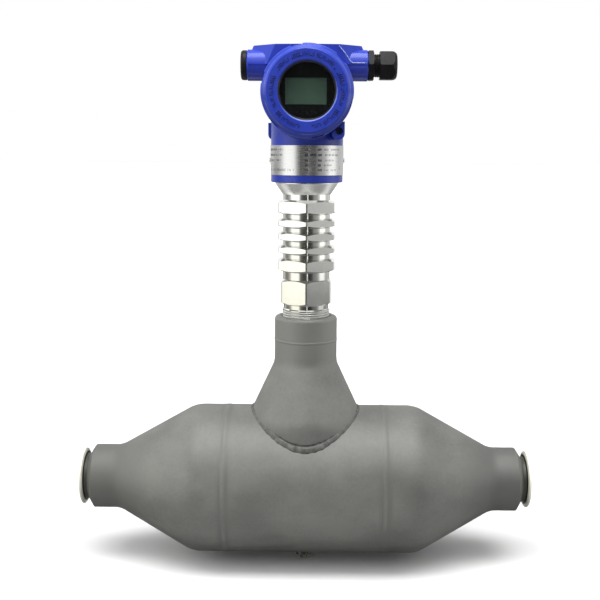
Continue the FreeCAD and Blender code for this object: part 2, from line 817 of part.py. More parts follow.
def nameplate_rivets():
    """Two round heads on the ends of the band."""
    head_r = BASE_R + PLATE_THICK
    rivets = []
    for side in (-1, 1):
        dome = turned(
            [
                (0, head_r - RIVET_SEAT),
                (RIVET_R, head_r - RIVET_SEAT),
                (RIVET_R, head_r + RIVET_HEAD, RIVET_ROUND),
                (0, head_r + RIVET_HEAD),
            ]
        )
        rivet = along_x(dome, side)
        rivet.translate(V(0, 0, sum(PLATE_Z) / 2))
        rivets.append(rivet.cut(rod(head_r, *PLATE_Z)))
    return Part.makeCompound(rivets)


# Screwed covers, window and display


def cover_blank(mouth, face, bore):
    """Turned cover with grip notches in its rim, facing +Z."""
    flange = mouth + COVER_GAP
    rim = face - COVER_CHAMFER
    blank = turned(
        bore
        + [
            (COVER_CAVITY_R, mouth - COVER_SPIGOT),
            (COVER_SPIGOT_R, mouth - COVER_SPIGOT),
            (COVER_SPIGOT_R, flange),
            (COVER_R - COVER_EDGE, flange),
            (COVER_R, flange + COVER_EDGE),
            (COVER_R, rim, COVER_RIM_ROUND),
            (COVER_FACE_R, face, COVER_FACE_ROUND),
        ]
    )
    for i in range(GRIP_COUNT):
        angle = GRIP_FIRST + i * 2 * math.pi / GRIP_COUNT
        half = GRIP_WIDTH / 2
        notch = block(GRIP_FLOOR_R, COVER_R + OVERCUT, -half, half, flange + GRIP_START, face)
        notch.rotate(V(0, 0, 0), V(0, 0, 1), math.degrees(angle))
        blank = blank.cut(notch)
    return blank


def front_cover():
    face = FRONT_COVER_FACE
    seat, _, _, back = window_stack()
    bore = [
        (WINDOW_BEVEL_R, face),
        (WINDOW_R, seat),
        (GLASS_POCKET_R, seat),
        (GLASS_POCKET_R, back),
        (COVER_CAVITY_R, back),
    ]
    return along_y(cover_blank(FRONT_MOUTH, face, bore), -1)


def rear_cover():
    face = REAR_COVER_FACE
    back = face - REAR_COVER_THICK
    bore = [
        (REAR_RECESS_R, face),
        (REAR_RECESS_R - REAR_RECESS, face - REAR_RECESS),
        (0, face - REAR_RECESS),
        (0, back),
        (COVER_CAVITY_R, back, REAR_CAVITY_ROUND),
    ]
    return along_y(cover_blank(REAR_MOUTH, face, bore), 1)


def cover_seal(mouth, side):
    """O-ring in the seat at a compartment's mouth."""
    middle = mouth - SEAL_SEAT_DEPTH + SEAL_LIFT + SEAL_WIRE_R
    seal = Part.makeTorus(SEAL_MID_R, SEAL_WIRE_R)
    seal.translate(V(0, 0, middle))
    return along_y(seal, side)


def window_stack():
    """Heights of the gasket, glass and retainer behind the window's lip."""
    seat = FRONT_COVER_FACE - WINDOW_LIP
    glass_front = seat - GASKET_THICK
    glass_back = glass_front - GLASS_THICK
    return seat, glass_front, glass_back, glass_back - RETAINER_THICK


def window_gasket():
    seat, glass_front, _, _ = window_stack()
    return along_y(ring(GASKET_R, GLASS_R, glass_front, seat), -1)


def window_glass():
    _, glass_front, glass_back, _ = window_stack()
    disc = [
        (0, glass_back),
        (GLASS_R - GLASS_EDGE, glass_back),
        (GLASS_R, glass_back + GLASS_EDGE),
        (GLASS_R, glass_front - GLASS_EDGE),
        (GLASS_R - GLASS_EDGE, glass_front),
        (0, glass_front),
    ]
    return along_y(turned(disc), -1)


def window_retainer():
    _, _, glass_back, back = window_stack()
    hoop = ring(*RETAINER_R, back, glass_back)
    reach = RETAINER_R[1] + OVERCUT
    half = RETAINER_SLOT[0] / 2
    slots = block(-reach, reach, -half, half, back - OVERCUT, back + RETAINER_SLOT[1])
    return along_y(hoop.cut(slots), -1)


def key_centre(x):
    return V(x, -KEY_DROP, 0)


def display_module():
    """Moulded carrier: back plate, rim and a bezel with the view window and key holes."""
    rear = BEZEL_FACE - BEZEL_PLATE
    carrier = turned(
        [
            (0, DISPLAY_BACK),
            (DISPLAY_R, DISPLAY_BACK),
            (DISPLAY_R, BEZEL_FACE, DISPLAY_ROUND),
            (0, BEZEL_FACE),
        ]
    )
    carrier = carrier.cut(rod(DISPLAY_R - DISPLAY_WALL, DISPLAY_BACK + DISPLAY_FLOOR, rear))
    half_w = LCD_VIEW[0] / 2
    half_h = LCD_VIEW[1] / 2
    low = rear - OVERCUT
    high = BEZEL_FACE + OVERCUT
    view = block(LCD_X - half_w, LCD_X + half_w, LCD_LIFT - half_h, LCD_LIFT + half_h, low, high)
    carrier = carrier.cut(view)
    for x in KEY_X:
        hole = rod(KEY_R + KEY_GAP, low, high)
        hole.translate(key_centre(x))
        carrier = carrier.cut(hole)
    return along_y(carrier, -1)


def lcd_panel():
    rear = BEZEL_FACE - BEZEL_PLATE
    half_w = LCD_SIZE[0] / 2
    half_h = LCD_SIZE[1] / 2
    panel = block(LCD_X - half_w, LCD_X + half_w, -half_h, half_h, rear - LCD_THICK, rear)
    panel.translate(V(0, LCD_LIFT, 0))
    return along_y(panel, -1)


def display_key(x):
    rear = BEZEL_FACE - BEZEL_PLATE
    cap = turned(
        [
            (0, rear - KEY_FLANGE[1]),
            (KEY_FLANGE_R, rear - KEY_FLANGE[1]),
            (KEY_FLANGE_R, rear - KEY_FLANGE[0]),
            (KEY_R, rear - KEY_FLANGE[0]),
            (KEY_R, BEZEL_FACE + KEY_PROUD, KEY_ROUND),
            (0, BEZEL_FACE + KEY_PROUD),
        ]
    )
    cap.translate(key_centre(x))
    return along_y(cap, -1)


def post_group(low, high):
    """Spacer posts on a circle, the first at the top, as separate solids."""
    posts = []
    for i in range(POST_COUNT):
        angle = math.pi / 2 + 2 * math.pi * i / POST_COUNT
        post = rod(POST_R, low, high)
        post.translate(V(POST_CIRCLE_R * math.cos(angle), POST_CIRCLE_R * math.sin(angle), 0))
        posts.append(post)
    return along_y(Part.makeCompound(posts), -1)


def main_board():
    back = BOARD_FACE - BOARD_THICK
    board = rod(BOARD_R, back, BOARD_FACE)
    chips = [block(*sides, BOARD_FACE - CHIP_SINK, BOARD_FACE + height) for *sides, height in CHIPS]
    return along_y(board.fuse(chips).removeSplitter(), -1)


def terminal_spots():
    return [TERMINAL_PITCH * (i - 1) for i in range(3)]


def terminal_block():
    """Stepped moulding on the partition, with a wire hole and a screw well for each terminal."""
    width, depth, height = TERMINAL_BLOCK
    floor = PARTITION_Y[1]
    top = floor + depth
    body = plate(
        [
            (-width / 2, TERMINAL_Z - height / 2, TERMINAL_ROUND),
            (width / 2, TERMINAL_Z - height / 2, TERMINAL_ROUND),
            (width / 2, TERMINAL_Z + height / 2, TERMINAL_ROUND),
            (-width / 2, TERMINAL_Z + height / 2, TERMINAL_ROUND),
        ],
        floor,
        top,
    )
    step_z = TERMINAL_Z + TERMINAL_STEP[1]
    step = block(-width, width, top - TERMINAL_STEP[0], top + OVERCUT, step_z, TERMINAL_Z + height)
    body = body.cut(step)
    for x in terminal_spots():
        well = along_y(rod(TERMINAL_WELL_R, floor + TERMINAL_WELL_FLOOR, top + OVERCUT), 1)
        well.translate(V(x, 0, TERMINAL_Z - TERMINAL_WELL_DROP - BARREL_Z))
        wire = rod(WIRE_HOLE_R, step_z, TERMINAL_Z + height)
        wire.translate(V(x, top - WIRE_HOLE_INSET, 0))
        body = body.cut([well, wire])
    return body


def terminal_screws():
    """Slotted screws in the wells of the terminal block."""
    foot = PARTITION_Y[1] + TERMINAL_WELL_FLOOR
    head = foot + TERMINAL_SCREW
    reach = TERMINAL_SCREW_R + OVERCUT
    half = TERMINAL_SLOT[0] / 2
    slot = block(-reach, reach, -half, half, head - TERMINAL_SLOT[1], head)
    screws = []
    for x in terminal_spots():
        screw = along_y(rod(TERMINAL_SCREW_R, foot, head).cut(slot), 1)
        screw.translate(V(x, 0, TERMINAL_Z - TERMINAL_WELL_DROP - BARREL_Z))
        screws.append(screw)
    return Part.makeCompound(screws)


# Conduit entries


def conduit_plug():
    """Blanking plug with a round, slightly domed head."""
    head = ARM_HALF + PLUG_HEAD
    plug = turned(
        [
            (0, ARM_HALF - PLUG_SHANK),
            (ENTRY_THREAD_R, ARM_HALF - PLUG_SHANK),
            (ENTRY_THREAD_R, ARM_HALF),
            (PLUG_R, ARM_HALF, PLUG_BASE_ROUND),
            (PLUG_R, head, PLUG_RIM_ROUND),
            (0, head + PLUG_DOME),
        ]
    )
    plug = along_x(plug.cut(hexagon(PLUG_SOCKET_HEX, head - PLUG_SOCKET, head + OVERCUT)), -1)
    plug.translate(V(0, 0, ARM_Z))
    return plug


def gland_body():
    flange = ARM_HALF + GLAND_FLANGE
    nut_start = flange + GLAND_NUT_GAP
    core = turned(
        [
            (GLAND_BORE_R, ARM_HALF - GLAND_SHANK),
            (ENTRY_THREAD_R, ARM_HALF - GLAND_SHANK),
            (ENTRY_THREAD_R, ARM_HALF),
            (GLAND_THREAD_R, ARM_HALF),
            (GLAND_THREAD_R, nut_start + GLAND_SEAT),
            (GLAND_SEAT_R, nut_start + GLAND_SEAT),
            (GLAND_SEAT_R, nut_start),
            (GLAND_BORE_R, nut_start),
        ]
    )
    collar = chamfered_hex(GLAND_FLANGE_HEX, ARM_HALF, flange, FIN_CHAMFER, HEX_FACE_INSET, HEX_EDGE_ROUND)
    collar = collar.cut(rod(GLAND_THREAD_R, ARM_HALF, flange))
    body = along_x(core.fuse(collar).removeSplitter())
    body.translate(V(0, 0, ARM_Z))
    return body


def gland_seal():
    nut_start = ARM_HALF + GLAND_FLANGE + GLAND_NUT_GAP
    foot = nut_start + GLAND_SEAL_GAP
    seal = along_x(ring(GLAND_BORE_R, GLAND_SEAT_R - GLAND_SEAL_GAP, foot, foot + GLAND_SEAL))
    seal.translate(V(0, 0, ARM_Z))
    return seal


def gland_nut():
    """Dome nut: hexagon with a round nose, threaded inside and tapered to the cable mouth."""
    start = ARM_HALF + GLAND_FLANGE + GLAND_NUT_GAP
    end = start + GLAND_NUT_LENGTH
    shoulder = start + GLAND_NUT_DEPTH
    corner_r = GLAND_NUT_HEX / math.sqrt(3)
    envelope = turned(
        [
            (0, start),
            (corner_r - GLAND_NUT_EDGE, start),
            (corner_r, start + GLAND_NUT_EDGE),
            (corner_r, end - GLAND_NUT_NOSE, GLAND_NUT_NOSE_ROUND[0]),
            (GLAND_NUT_HEX / 2 - GLAND_NUT_NOSE_INSET, end, GLAND_NUT_NOSE_ROUND[1]),
            (0, end),
        ]
    )
    nut = hexagon(GLAND_NUT_HEX, start, end).common(envelope)
    bore = turned(
        [
            (0, start - OVERCUT),
            (GLAND_NUT_THREAD_R, start - OVERCUT),
            (GLAND_NUT_THREAD_R, shoulder),
            (GLAND_NUT_MOUTH_R + GLAND_NUT_TAPER[0], shoulder),
            (GLAND_NUT_MOUTH_R, shoulder + GLAND_NUT_TAPER[1]),
            (GLAND_NUT_MOUTH_R, end + OVERCUT),
            (0, end + OVERCUT),
        ]
    )
    nut = along_x(nut.cut(bore))
    nut.translate(V(0, 0, ARM_Z))
    return nut


def main():
    os.makedirs("parts", exist_ok=True)
    save("centre_tube", centre_tube())
    save("inlet_reducer", reducer(-1))
    save("outlet_reducer", reducer(1))
    save("inlet_ferrule", ferrule(-1))
    save("outlet_ferrule", ferrule(1))
    save("branch_reducer", branch_reducer())
    save("branch_collar", branch_collar())
    save("branch_weld", branch_weld())
    save("inlet_seam_weld", seam_weld(-TUBE_HALF))
    save("outlet_seam_weld", seam_weld(TUBE_HALF))
    save("collar_weld", collar_weld())
    save("drain_boss", drain_boss())
    save("drain_plug", drain_plug())
    save("sensor_neck", sensor_neck())
    save("tuning_fork", tuning_fork())
    save("drive_piezo", piezo(CAVITY_FLOOR_Z))
    save("pickup_piezo", piezo(CAVITY_FLOOR_Z + PIEZO_THICK))
    save("temperature_probe", rod(PROBE_R, *PROBE_Z))
    save("signal_lead", signal_lead())
    save("feedthrough", feedthrough())
    save("housing", housing())
    save("swivel_lock_screw", swivel_lock_screw())
    save("front_lock_screw", lock_screw(FRONT_MOUTH))
    save("rear_lock_screw", half_turn(lock_screw(REAR_MOUTH)))
    save("nameplate", nameplate())
    save("nameplate_rivets", nameplate_rivets())
    save("front_cover", front_cover())
    save("rear_cover", rear_cover())
    save("front_cover_seal", cover_seal(FRONT_MOUTH, -1))
    save("rear_cover_seal", cover_seal(REAR_MOUTH, 1))
    save("window_gasket", window_gasket())
    save("window_glass", window_glass())
    save("window_retainer", window_retainer())
    save("display_module", display_module())
    save("lcd_panel", lcd_panel())
    for name, x in zip(("left", "centre", "right"), KEY_X):
        save("display_key_" + name, display_key(x))
    save("main_board", main_board())
    save("board_posts", post_group(-PARTITION_Y[0], BOARD_FACE - BOARD_THICK))
    save("display_posts", post_group(BOARD_FACE, DISPLAY_BACK))
    save("terminal_block", terminal_block())
    save("terminal_screws", terminal_screws())
    save("conduit_plug", conduit_plug())
    save("gland_body", gland_body())
    save("gland_seal", gland_seal())
    save("gland_nut", gland_nut())


main()
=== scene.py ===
import bpy
import math
import numpy as np
from bpy.props import FloatProperty, FloatVectorProperty, IntProperty, PointerProperty
from bpy.types import Operator, Panel, PropertyGroup
from mathutils import Matrix, Vector


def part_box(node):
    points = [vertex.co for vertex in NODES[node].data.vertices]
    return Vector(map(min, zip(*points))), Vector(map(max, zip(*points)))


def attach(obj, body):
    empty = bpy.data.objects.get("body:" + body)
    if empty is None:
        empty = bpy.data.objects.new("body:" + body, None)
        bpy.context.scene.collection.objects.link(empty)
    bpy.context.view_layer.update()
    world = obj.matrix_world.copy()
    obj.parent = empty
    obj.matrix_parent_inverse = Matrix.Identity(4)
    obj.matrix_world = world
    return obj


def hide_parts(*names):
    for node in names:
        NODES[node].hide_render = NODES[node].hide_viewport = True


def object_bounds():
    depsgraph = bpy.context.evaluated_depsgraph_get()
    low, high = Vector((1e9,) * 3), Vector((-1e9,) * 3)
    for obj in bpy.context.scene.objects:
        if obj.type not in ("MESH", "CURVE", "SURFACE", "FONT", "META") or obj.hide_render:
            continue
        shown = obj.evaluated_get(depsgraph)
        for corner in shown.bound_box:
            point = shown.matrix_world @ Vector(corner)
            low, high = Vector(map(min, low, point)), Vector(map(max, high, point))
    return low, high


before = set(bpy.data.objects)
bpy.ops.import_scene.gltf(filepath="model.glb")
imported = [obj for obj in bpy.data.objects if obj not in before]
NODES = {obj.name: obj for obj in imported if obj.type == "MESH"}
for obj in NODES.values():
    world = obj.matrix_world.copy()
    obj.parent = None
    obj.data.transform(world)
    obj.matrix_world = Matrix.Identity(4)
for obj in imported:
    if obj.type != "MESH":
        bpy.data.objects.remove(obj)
CAD_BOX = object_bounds()

bl_info = {
    "name": "Fork density meter",
    "version": (1, 0, 0),
    "blender": (4, 5, 0),
    "location": "View3D > Sidebar > Meter",
    "description": "Finishes, weld bead, threads and marks of a fork density meter on its CAD frame",
    "category": "Add Mesh",
}

# Places read from the frame, in metres


def side(node, axis, high):
    """One face of a node's box."""
    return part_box(node)[1 if high else 0][axis]


MM = 0.001
X, Y, Z = 0, 1, 2
AXIS_X = (side("sensor_neck", X, False) + side("sensor_neck", X, True)) / 2
TUBE_R = side("centre_tube", Z, True)
TUBE_HALF = (side("centre_tube", X, True) - side("centre_tube", X, False)) / 2
BRANCH_RX = (side("branch_reducer", X, True) - side("branch_reducer", X, False)) / 2
BRANCH_RY = (side("branch_reducer", Y, True) - side("branch_reducer", Y, False)) / 2
COLLAR_TOP = side("branch_collar", Z, True)
FLOOR_Z = CAD_BOX[0][Z]
FERRULE_R = side("inlet_ferrule", Z, True)
FLARE_Z = side("sensor_neck", Z, True) - 33.1 * MM
ROOF_Z = side("housing", Z, True)
BARREL_Z = (side("front_cover", Z, True) + side("front_cover", Z, False)) / 2
COVER_FACE_Y = side("front_cover", Y, False)
PLATE_LOW = side("nameplate", Z, False)
PLATE_HIGH = side("nameplate", Z, True)
PLATE_R = (side("nameplate", X, True) - side("nameplate", X, False)) / 2
GLAND_Z = (side("gland_nut", Z, True) + side("gland_nut", Z, False)) / 2
GLAND_NUT_X = side("gland_nut", X, False)


def colour(label, words, value):
    """Colour property with its words."""
    return FloatVectorProperty(name=label, description=words, subtype="COLOR", size=3, min=0, max=1,
                               default=value)


def length(label, words, value):
    """Length property in metres."""
    return FloatProperty(name=label, description=words, unit="LENGTH", min=0, default=value, precision=5)


def share(label, words, value):
    """Plain share between 0 and 1."""
    return FloatProperty(name=label, description=words, subtype="FACTOR", min=0, max=1, default=value)


def amount(label, words, value):
    """Plain number that isn't negative."""
    return FloatProperty(name=label, description=words, min=0, default=value)


def angle(label, words, degrees):
    """Angle property, given in degrees."""
    return FloatProperty(name=label, description=words, subtype="ANGLE", default=math.radians(degrees))


class MeterFinish(PropertyGroup):
    """Colours and roughness of the meter's finishes."""

    blasted_colour: colour("Blasted steel", "Tint of the bead-blasted chamber", (0.435, 0.439, 0.417))
    blasted_roughness: share("Blasted roughness", "Roughness of the blasted chamber", 0.66)
    weld_colour: colour("Weld", "Tint of the saddle weld", (0.325, 0.327, 0.31))
    polished_colour: colour("Polished steel", "Tint of the turned and polished steel", (0.87, 0.87, 0.835))
    polished_roughness: share("Polished roughness", "Roughness of the polished steel", 0.08)
    paint_colour: colour("Paint", "Powder coat of the housing and covers", (0.0155, 0.0375, 0.362))
    paint_roughness: share("Paint roughness", "Roughness of the powder coat", 0.30)
    nylon_colour: colour("Nylon", "Plug and cable gland", (0.010, 0.010, 0.011))
    bezel_colour: colour("Bezel", "Display carrier", (0.006, 0.006, 0.007))
    lcd_colour: colour("Display", "Switched-off display", (0.112, 0.182, 0.137))
    plate_colour: colour("Nameplate", "Bare sheet of the nameplate", (0.80, 0.80, 0.79))
    ink_colour: colour("Ink", "Marks on the nameplate", (0.05, 0.05, 0.05))


class MeterDetail(PropertyGroup):
    """Sizes of the details that are added to the frame."""

    bead_width: length("Bead width", "Half width of the saddle weld", 3.9 * MM)
    bead_height: length("Bead height", "Half thickness of the saddle weld", 2.1 * MM)
    bead_step: length("Bead step", "How far the saddle weld stands out from the branch", 1.2 * MM)
    bead_ripple: length("Bead ripple", "Distance between the weld's ripples", 2.6 * MM)
    neck_root: length("Neck root", "Root radius of the thread above the collar", 20.4 * MM)
    neck_pitch: length("Neck pitch", "Pitch of the thread above the collar", 2.1 * MM)
    neck_depth: length("Neck thread", "Height of the neck thread's ridge", 0.55 * MM)
    gland_root: length("Gland root", "Root radius of the gland's thread", 9.4 * MM)
    gland_pitch: length("Gland pitch", "Pitch of the gland's thread", 1.5 * MM)
    gland_depth: length("Gland thread", "Height of the gland thread's ridge", 0.5 * MM)
    window_lip: length("Window lip", "Radius inside which the front cover is black", 23.9 * MM)
    # The roof's edge strip is a painted glint
    edge_width: length("Rubbed edge", "Half width of the rubbed edge on the roof", 0.42 * MM)
    relief_height: length("Relief height", "Height of the raised bars on the cover", 0.55 * MM)
    relief_radius: length("Relief radius", "Middle of the ring of raised bars", 29.2 * MM)
    relief_count: IntProperty(name="Relief bars", description="Raised bars round the whole ring", min=8,
                              default=112)


class MeterStage(PropertyGroup):
    """Camera, lamps and reflecting cards."""

    camera_place: FloatVectorProperty(name="Camera", description="Where the camera stands",
                                      subtype="TRANSLATION", unit="LENGTH", size=3,
                                      default=(AXIS_X + 0.00354, -0.85206, 0.29483))
    camera_pitch: angle("Pitch", "How far the camera looks down", 8.69)
    camera_yaw: angle("Yaw", "How far the camera looks to the left", 0.5985)
    camera_roll: angle("Roll", "Turn of the camera about its view", 0.321)
    lens: amount("Lens", "Focal length in millimetres on a 36 mm sensor", 57.867)
    ambient: amount("Ambient", "Strength of the light from all round", 0.41)
    top_strength: amount("Top light", "Strength of the light from above", 3.8)
    key_strength: amount("Key light", "Strength of the light from the upper front", 0.75)
    left_strength: amount("Left light", "Strength of the light from the left", 1.75)
    right_strength: amount("Right light", "Strength of the light from the right", 0.85)
    box_strength: amount("Top box", "Brightness of the box above, in reflections", 5.0)
    floor_shade: amount("Floor", "Brightness of the floor to the eye", 0.66)


# Corners of the painted glint along the roof edge, in mm to the right of the axis, in front of it and below
# the roof,
# # and the share of the edge at which each is reached
ROOF_EDGE = ((26.2, 15.0, 1.0), (31.5, 14.6, 7.3), (36.8, 13.9, 14.6), (38.4, 13.6, 15.6), (51.0, 13.4, 15.6))
ROOF_EDGE_SHARE = (0.0, 0.30, 0.60, 0.66, 1.0)

# Blocks of ticks on the nameplate: height up the plate, first and last bearing in degrees, half height in mm
# and inked share; then the bearing of the upright rule and the step between ticks, in degrees
PLATE_BLOCKS = ((0.86, -80, -38, 1.10, 0.42), (0.68, -80, -40, 1.10, 0.46), (0.50, -79, -42, 1.05, 0.42),
                (0.18, -80, -18, 1.25, 0.36), (0.86, -2, 3, 1.15, 0.62), (0.68, -2, 3.2, 1.20, 0.85),
                (0.68, 6, 15, 1.35, 0.85), (0.50, -2, 3, 1.15, 0.80), (0.34, -2, 3, 1.15, 0.80),
                (0.18, -2, 3, 1.15, 0.62), (0.86, 18, 24, 1.15, 0.70), (0.68, 18, 24, 1.20, 0.80),
                (0.50, 18, 24, 1.15, 0.75), (0.34, 18, 23, 1.15, 0.75), (0.18, 18, 24, 1.25, 0.75),
                (0.86, 28, 60, 0.95, 0.38), (0.68, 28, 58, 1.00, 0.42), (0.50, 28, 47, 0.95, 0.38),
                (0.34, 28, 42, 0.95, 0.42), (0.18, 28, 52, 0.95, 0.38), (0.24, 62, 66, 1.60, 0.40))
PLATE_RULE = -9
TICK_STEP = 1.6

# Radius of the studio's walls, their brightness at bearings from the front, in degrees, as the metal mirrors
# it, and what it is multiplied by at each height; the middle wall has no slit
WALL_R = 1.1
STUDIO_LEFT = ((-165, 0.62), (-136, 0.60), (-125, 0.45), (-115, 0.25), (-106, 0.23), (-98, 0.32), (-91, 0.42),
               (-84, 0.62), (-78, 1.12), (-72, 1.38), (-40, 1.38), (-36, 1.15), (-33, 0.75), (-28, 0.22),
               (-23, 0.14), (-14, 0.08), (4.3, 0.06), (4.4, 1.6), (5.9, 1.6))
STUDIO_RIGHT = ((5.9, 1.6), (7.4, 1.6), (7.5, 0.06), (15, 0.05), (25, 0.07), (31, 0.14), (36, 0.26),
                (46, 0.31), (52, 0.37), (57, 0.45), (60, 0.54), (63, 0.60), (68, 0.95), (74, 1.42),
                (95, 1.42), (101, 1.05), (109, 0.62), (118, 0.56), (129, 0.64), (165, 0.60))
STUDIO_MIDDLE = STUDIO_LEFT[:-3] + STUDIO_RIGHT[3:]
STUDIO_UPPER = ((-165, 0.9), (-80, 1.3), (-40, 1.2), (-31, 0.05), (33, 0.05), (38, 0.50), (68, 0.60),
                (80, 0.75), (120, 0.65), (165, 0.6))
LEFT_RISE = ((-0.074, 0.75), (-0.01, 0.85), (0.07, 0.93), (0.19, 1.0), (0.235, 1.05))
RIGHT_RISE = ((-0.074, 0.36), (-0.01, 0.46), (0.02, 0.60), (0.07, 0.87), (0.125, 0.94), (0.19, 1.0),
              (0.235, 1.05))
MIDDLE_RISE = ((0.235, 1.0), (0.33, 1.0))
UPPER_RISE = ((0.33, 0.6), (0.42, 0.75), (0.50, 1.2), (0.66, 1.2))

# Where the left wall turns cream, over what height, and what that takes from red, green and blue
CREAM_TOP, CREAM_DEPTH = 0.14, 0.10
CREAM_CUT = (0.0, 0.01, 0.14)

# Level cards that the metal mirrors: name, half width, front, back, height and brightness
CARD_Z = FLOOR_Z + MM
LEVEL_CARDS = (("floor_back", 0.60, 0.085, 0.34, CARD_Z, 0.74),
               ("floor_front", 0.90, -1.05, -0.22, CARD_Z, 0.20),
               ("floor_near", 0.09, -0.21, -0.147, CARD_Z, 0.85),
               ("ceiling_front", 3.0, -3.0, -1.0, 1.75, 0.20),
               ("ceiling", 3.0, -1.0, 0.6, 1.75, 0.21),
               ("ceiling_back", 3.0, 0.6, 3.0, 1.75, 0.5))

# Flag behind the object: its places across, its distance, its heights and the brightness at each
FLAG_X = (-0.34, -0.18, 0.18, 0.34)
FLAG_Y = 0.35
FLAG_Z = (CARD_Z, 0.09, 0.17)
FLAG_SHADES = ((0.6, 0.05, 0.05, 0.6), (0.6, 0.05, 0.05, 0.6), (0.8, 0.6, 0.6, 0.8))

# Leaning box in the upper front: half width, then place, height and brightness of its lower and upper edges
KEY_HALF = 2.0
KEY_EDGES = ((-1.95, 1.00, 0.4), (-0.92, 1.70, 1.0))

# Grey of the floor in the light that bounces off it, and in reflections
FLOOR_BOUNCE = 0.22
FLOOR_MIRRORED = 0.145


# Meshes


def add_piece(name, points, faces, material, body):
    """Makes a mesh object at the origin from arrays, shades it smooth and lets it ride on a body."""
    mesh = bpy.data.meshes.new(name)
    mesh.from_pydata(points.reshape(-1, 3).tolist(), [], [list(face) for face in faces])
    mesh.polygons.foreach_set("use_smooth", np.ones(len(mesh.polygons), bool))
    mesh.materials.append(material)
    piece = bpy.data.objects.new(name, mesh)
    bpy.context.scene.collection.objects.link(piece)
    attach(piece, body)
    return piece


def grid_faces(rows, columns, loop_rows, loop_columns):
    """Quads of a grid of points, closed into a loop along either way."""
    row = np.arange(rows if loop_rows else rows - 1)[:, None]
    column = np.arange(columns if loop_columns else columns - 1)[None, :]
    next_row = (row + 1) % rows
    next_column = (column + 1) % columns
    corners = [row * columns + column, row * columns + next_column,
               next_row * columns + next_column, next_row * columns + column]
    return np.stack([c + 0 * row + 0 * column for c in corners], -1).reshape(-1, 4)


def unit(vectors):
    """Vectors scaled to length 1."""
    return vectors / np.linalg.norm(vectors, axis=1, keepdims=True)


def sweep(path, normals, section):
    """Carries a section along a path: point = path + normal * section[0] + across * section[1],
    where across is the path's direction crossed with the normal. section is (rows, columns, 2)."""
    across = np.cross(unit(np.gradient(path, axis=0)), normals)
    return path[:, None, :] + normals[:, None, :] * section[..., :1] + across[:, None, :] * section[..., 1:]


def capped_tube(points):
    """Faces of a swept tube that is open along its path, with a flat cap at each end."""
    rows, columns, _ = points.shape
    faces = grid_faces(rows, columns, False, True).tolist()
    faces.append(list(range(columns))[::-1])
    faces.append(list(range((rows - 1) * columns, rows * columns)))
    return faces


def wave(turns, s, phase):
    """Smooth wave of period 1 / turns over s in 0..1."""
    return np.sin(2 * np.pi * (turns * s + phase))


def saddle_bead(detail):
    """Weld bead round the branch's foot. The path is x = rx sin a, y = -ry cos a, z = sqrt(R^2 - y^2)
    on the tube of radius R. The section is an ellipse that swells with each ripple of the weld. The last
    array tells how near each point is to the bead's toes, of which the one on the branch is the wider."""
    rows, columns = 1200, 18
    s = np.arange(rows) / rows
    turn = 2 * np.pi * s
    out = np.stack([np.sin(turn), -np.cos(turn), 0 * turn], 1)
    flat = out * [BRANCH_RX, BRANCH_RY + detail.bead_step, 0]
    path = flat + np.stack([0 * s + AXIS_X, 0 * s, np.sqrt(TUBE_R**2 - flat[:, 1] ** 2)], 1)
    up = np.stack([0 * s, path[:, 1], path[:, 2]], 1) / TUBE_R
    normals = unit(out + up)
    ahead = unit(np.roll(path, -1, 0) - np.roll(path, 1, 0))
    normals = unit(normals - ahead * (normals * ahead).sum(1, keepdims=True))
    across = np.cross(ahead, normals)
    around = np.linalg.norm(np.roll(path, -1, 0) - path, axis=1).sum()
    ripples = round(around / detail.bead_ripple)
    wander = 0.5 * wave(7, s, 0.1) + 0.3 * wave(17, s, 0.6) + 0.2 * wave(41, s, 0.3)
    t = 2 * np.pi * np.arange(columns) / columns
    lag = 0.12 * np.cos(t)[None, :]
    ripple = np.abs(np.sin(np.pi * (ripples * s[:, None] + lag + 0.9 * wander[:, None])))
    lumps = 0.5 * wave(29, s, 0.2) * wave(5, s, 0.35) + 0.5 * wave(53, s, 0.8) * wave(3, s, 0.1)
    swell = 1 + 0.07 * (ripple - 0.6) + 0.10 * wander[:, None] + 0.22 * lumps[:, None]
    thin = (0.58 + 0.42 * np.cos(turn) ** 2)[:, None]
    high = detail.bead_height * thin * swell * np.cos(t)
    wide = detail.bead_width * thin * (1 + 0.07 * wander[:, None] + 0.06 * lumps[:, None]) * np.sin(t)
    points = path[:, None, :] + normals[:, None, :] * high[..., None] + across[:, None, :] * wide[..., None]
    toe = np.maximum(np.sin(t), -1.35 * np.sin(t))[None, :] * (1 + 0.18 * lumps[:, None])
    return points, grid_faces(rows, columns, True, True)[:, ::-1], toe


def thread_ridge(root, start, finish, pitch, depth):
    """Ridge of a screw thread about +Z, along the helix (root cos a, root sin a, start + pitch a / 2 pi). Its
    section is a blunt triangle, sunk a little into the shank, and runs out to nothing at both ends."""
    turns = (finish - start) / pitch
    rows_a_turn = 96
    rows = int(turns * rows_a_turn)
    s = np.linspace(0, 1, rows)
    turn = 2 * np.pi * turns * s
    out = np.stack([np.cos(turn), np.sin(turn), 0 * turn], 1)
    path = out * root + np.stack([0 * s, 0 * s, start + (finish - start) * s], 1)
    fade = np.clip(np.minimum(s, 1 - s) * turns * 3, 0.02, 1)
    half = 0.42 * pitch
    rising = [(-0.3 * depth, -half), (0.0, -half), (0.55 * depth, -0.5 * half), (depth, -0.16 * half)]
    profile = np.array(rising + [(height, -across) for height, across in reversed(rising)])
    points = sweep(path, out, profile[None] * fade[:, None, None])
    return points, capped_tube(points)


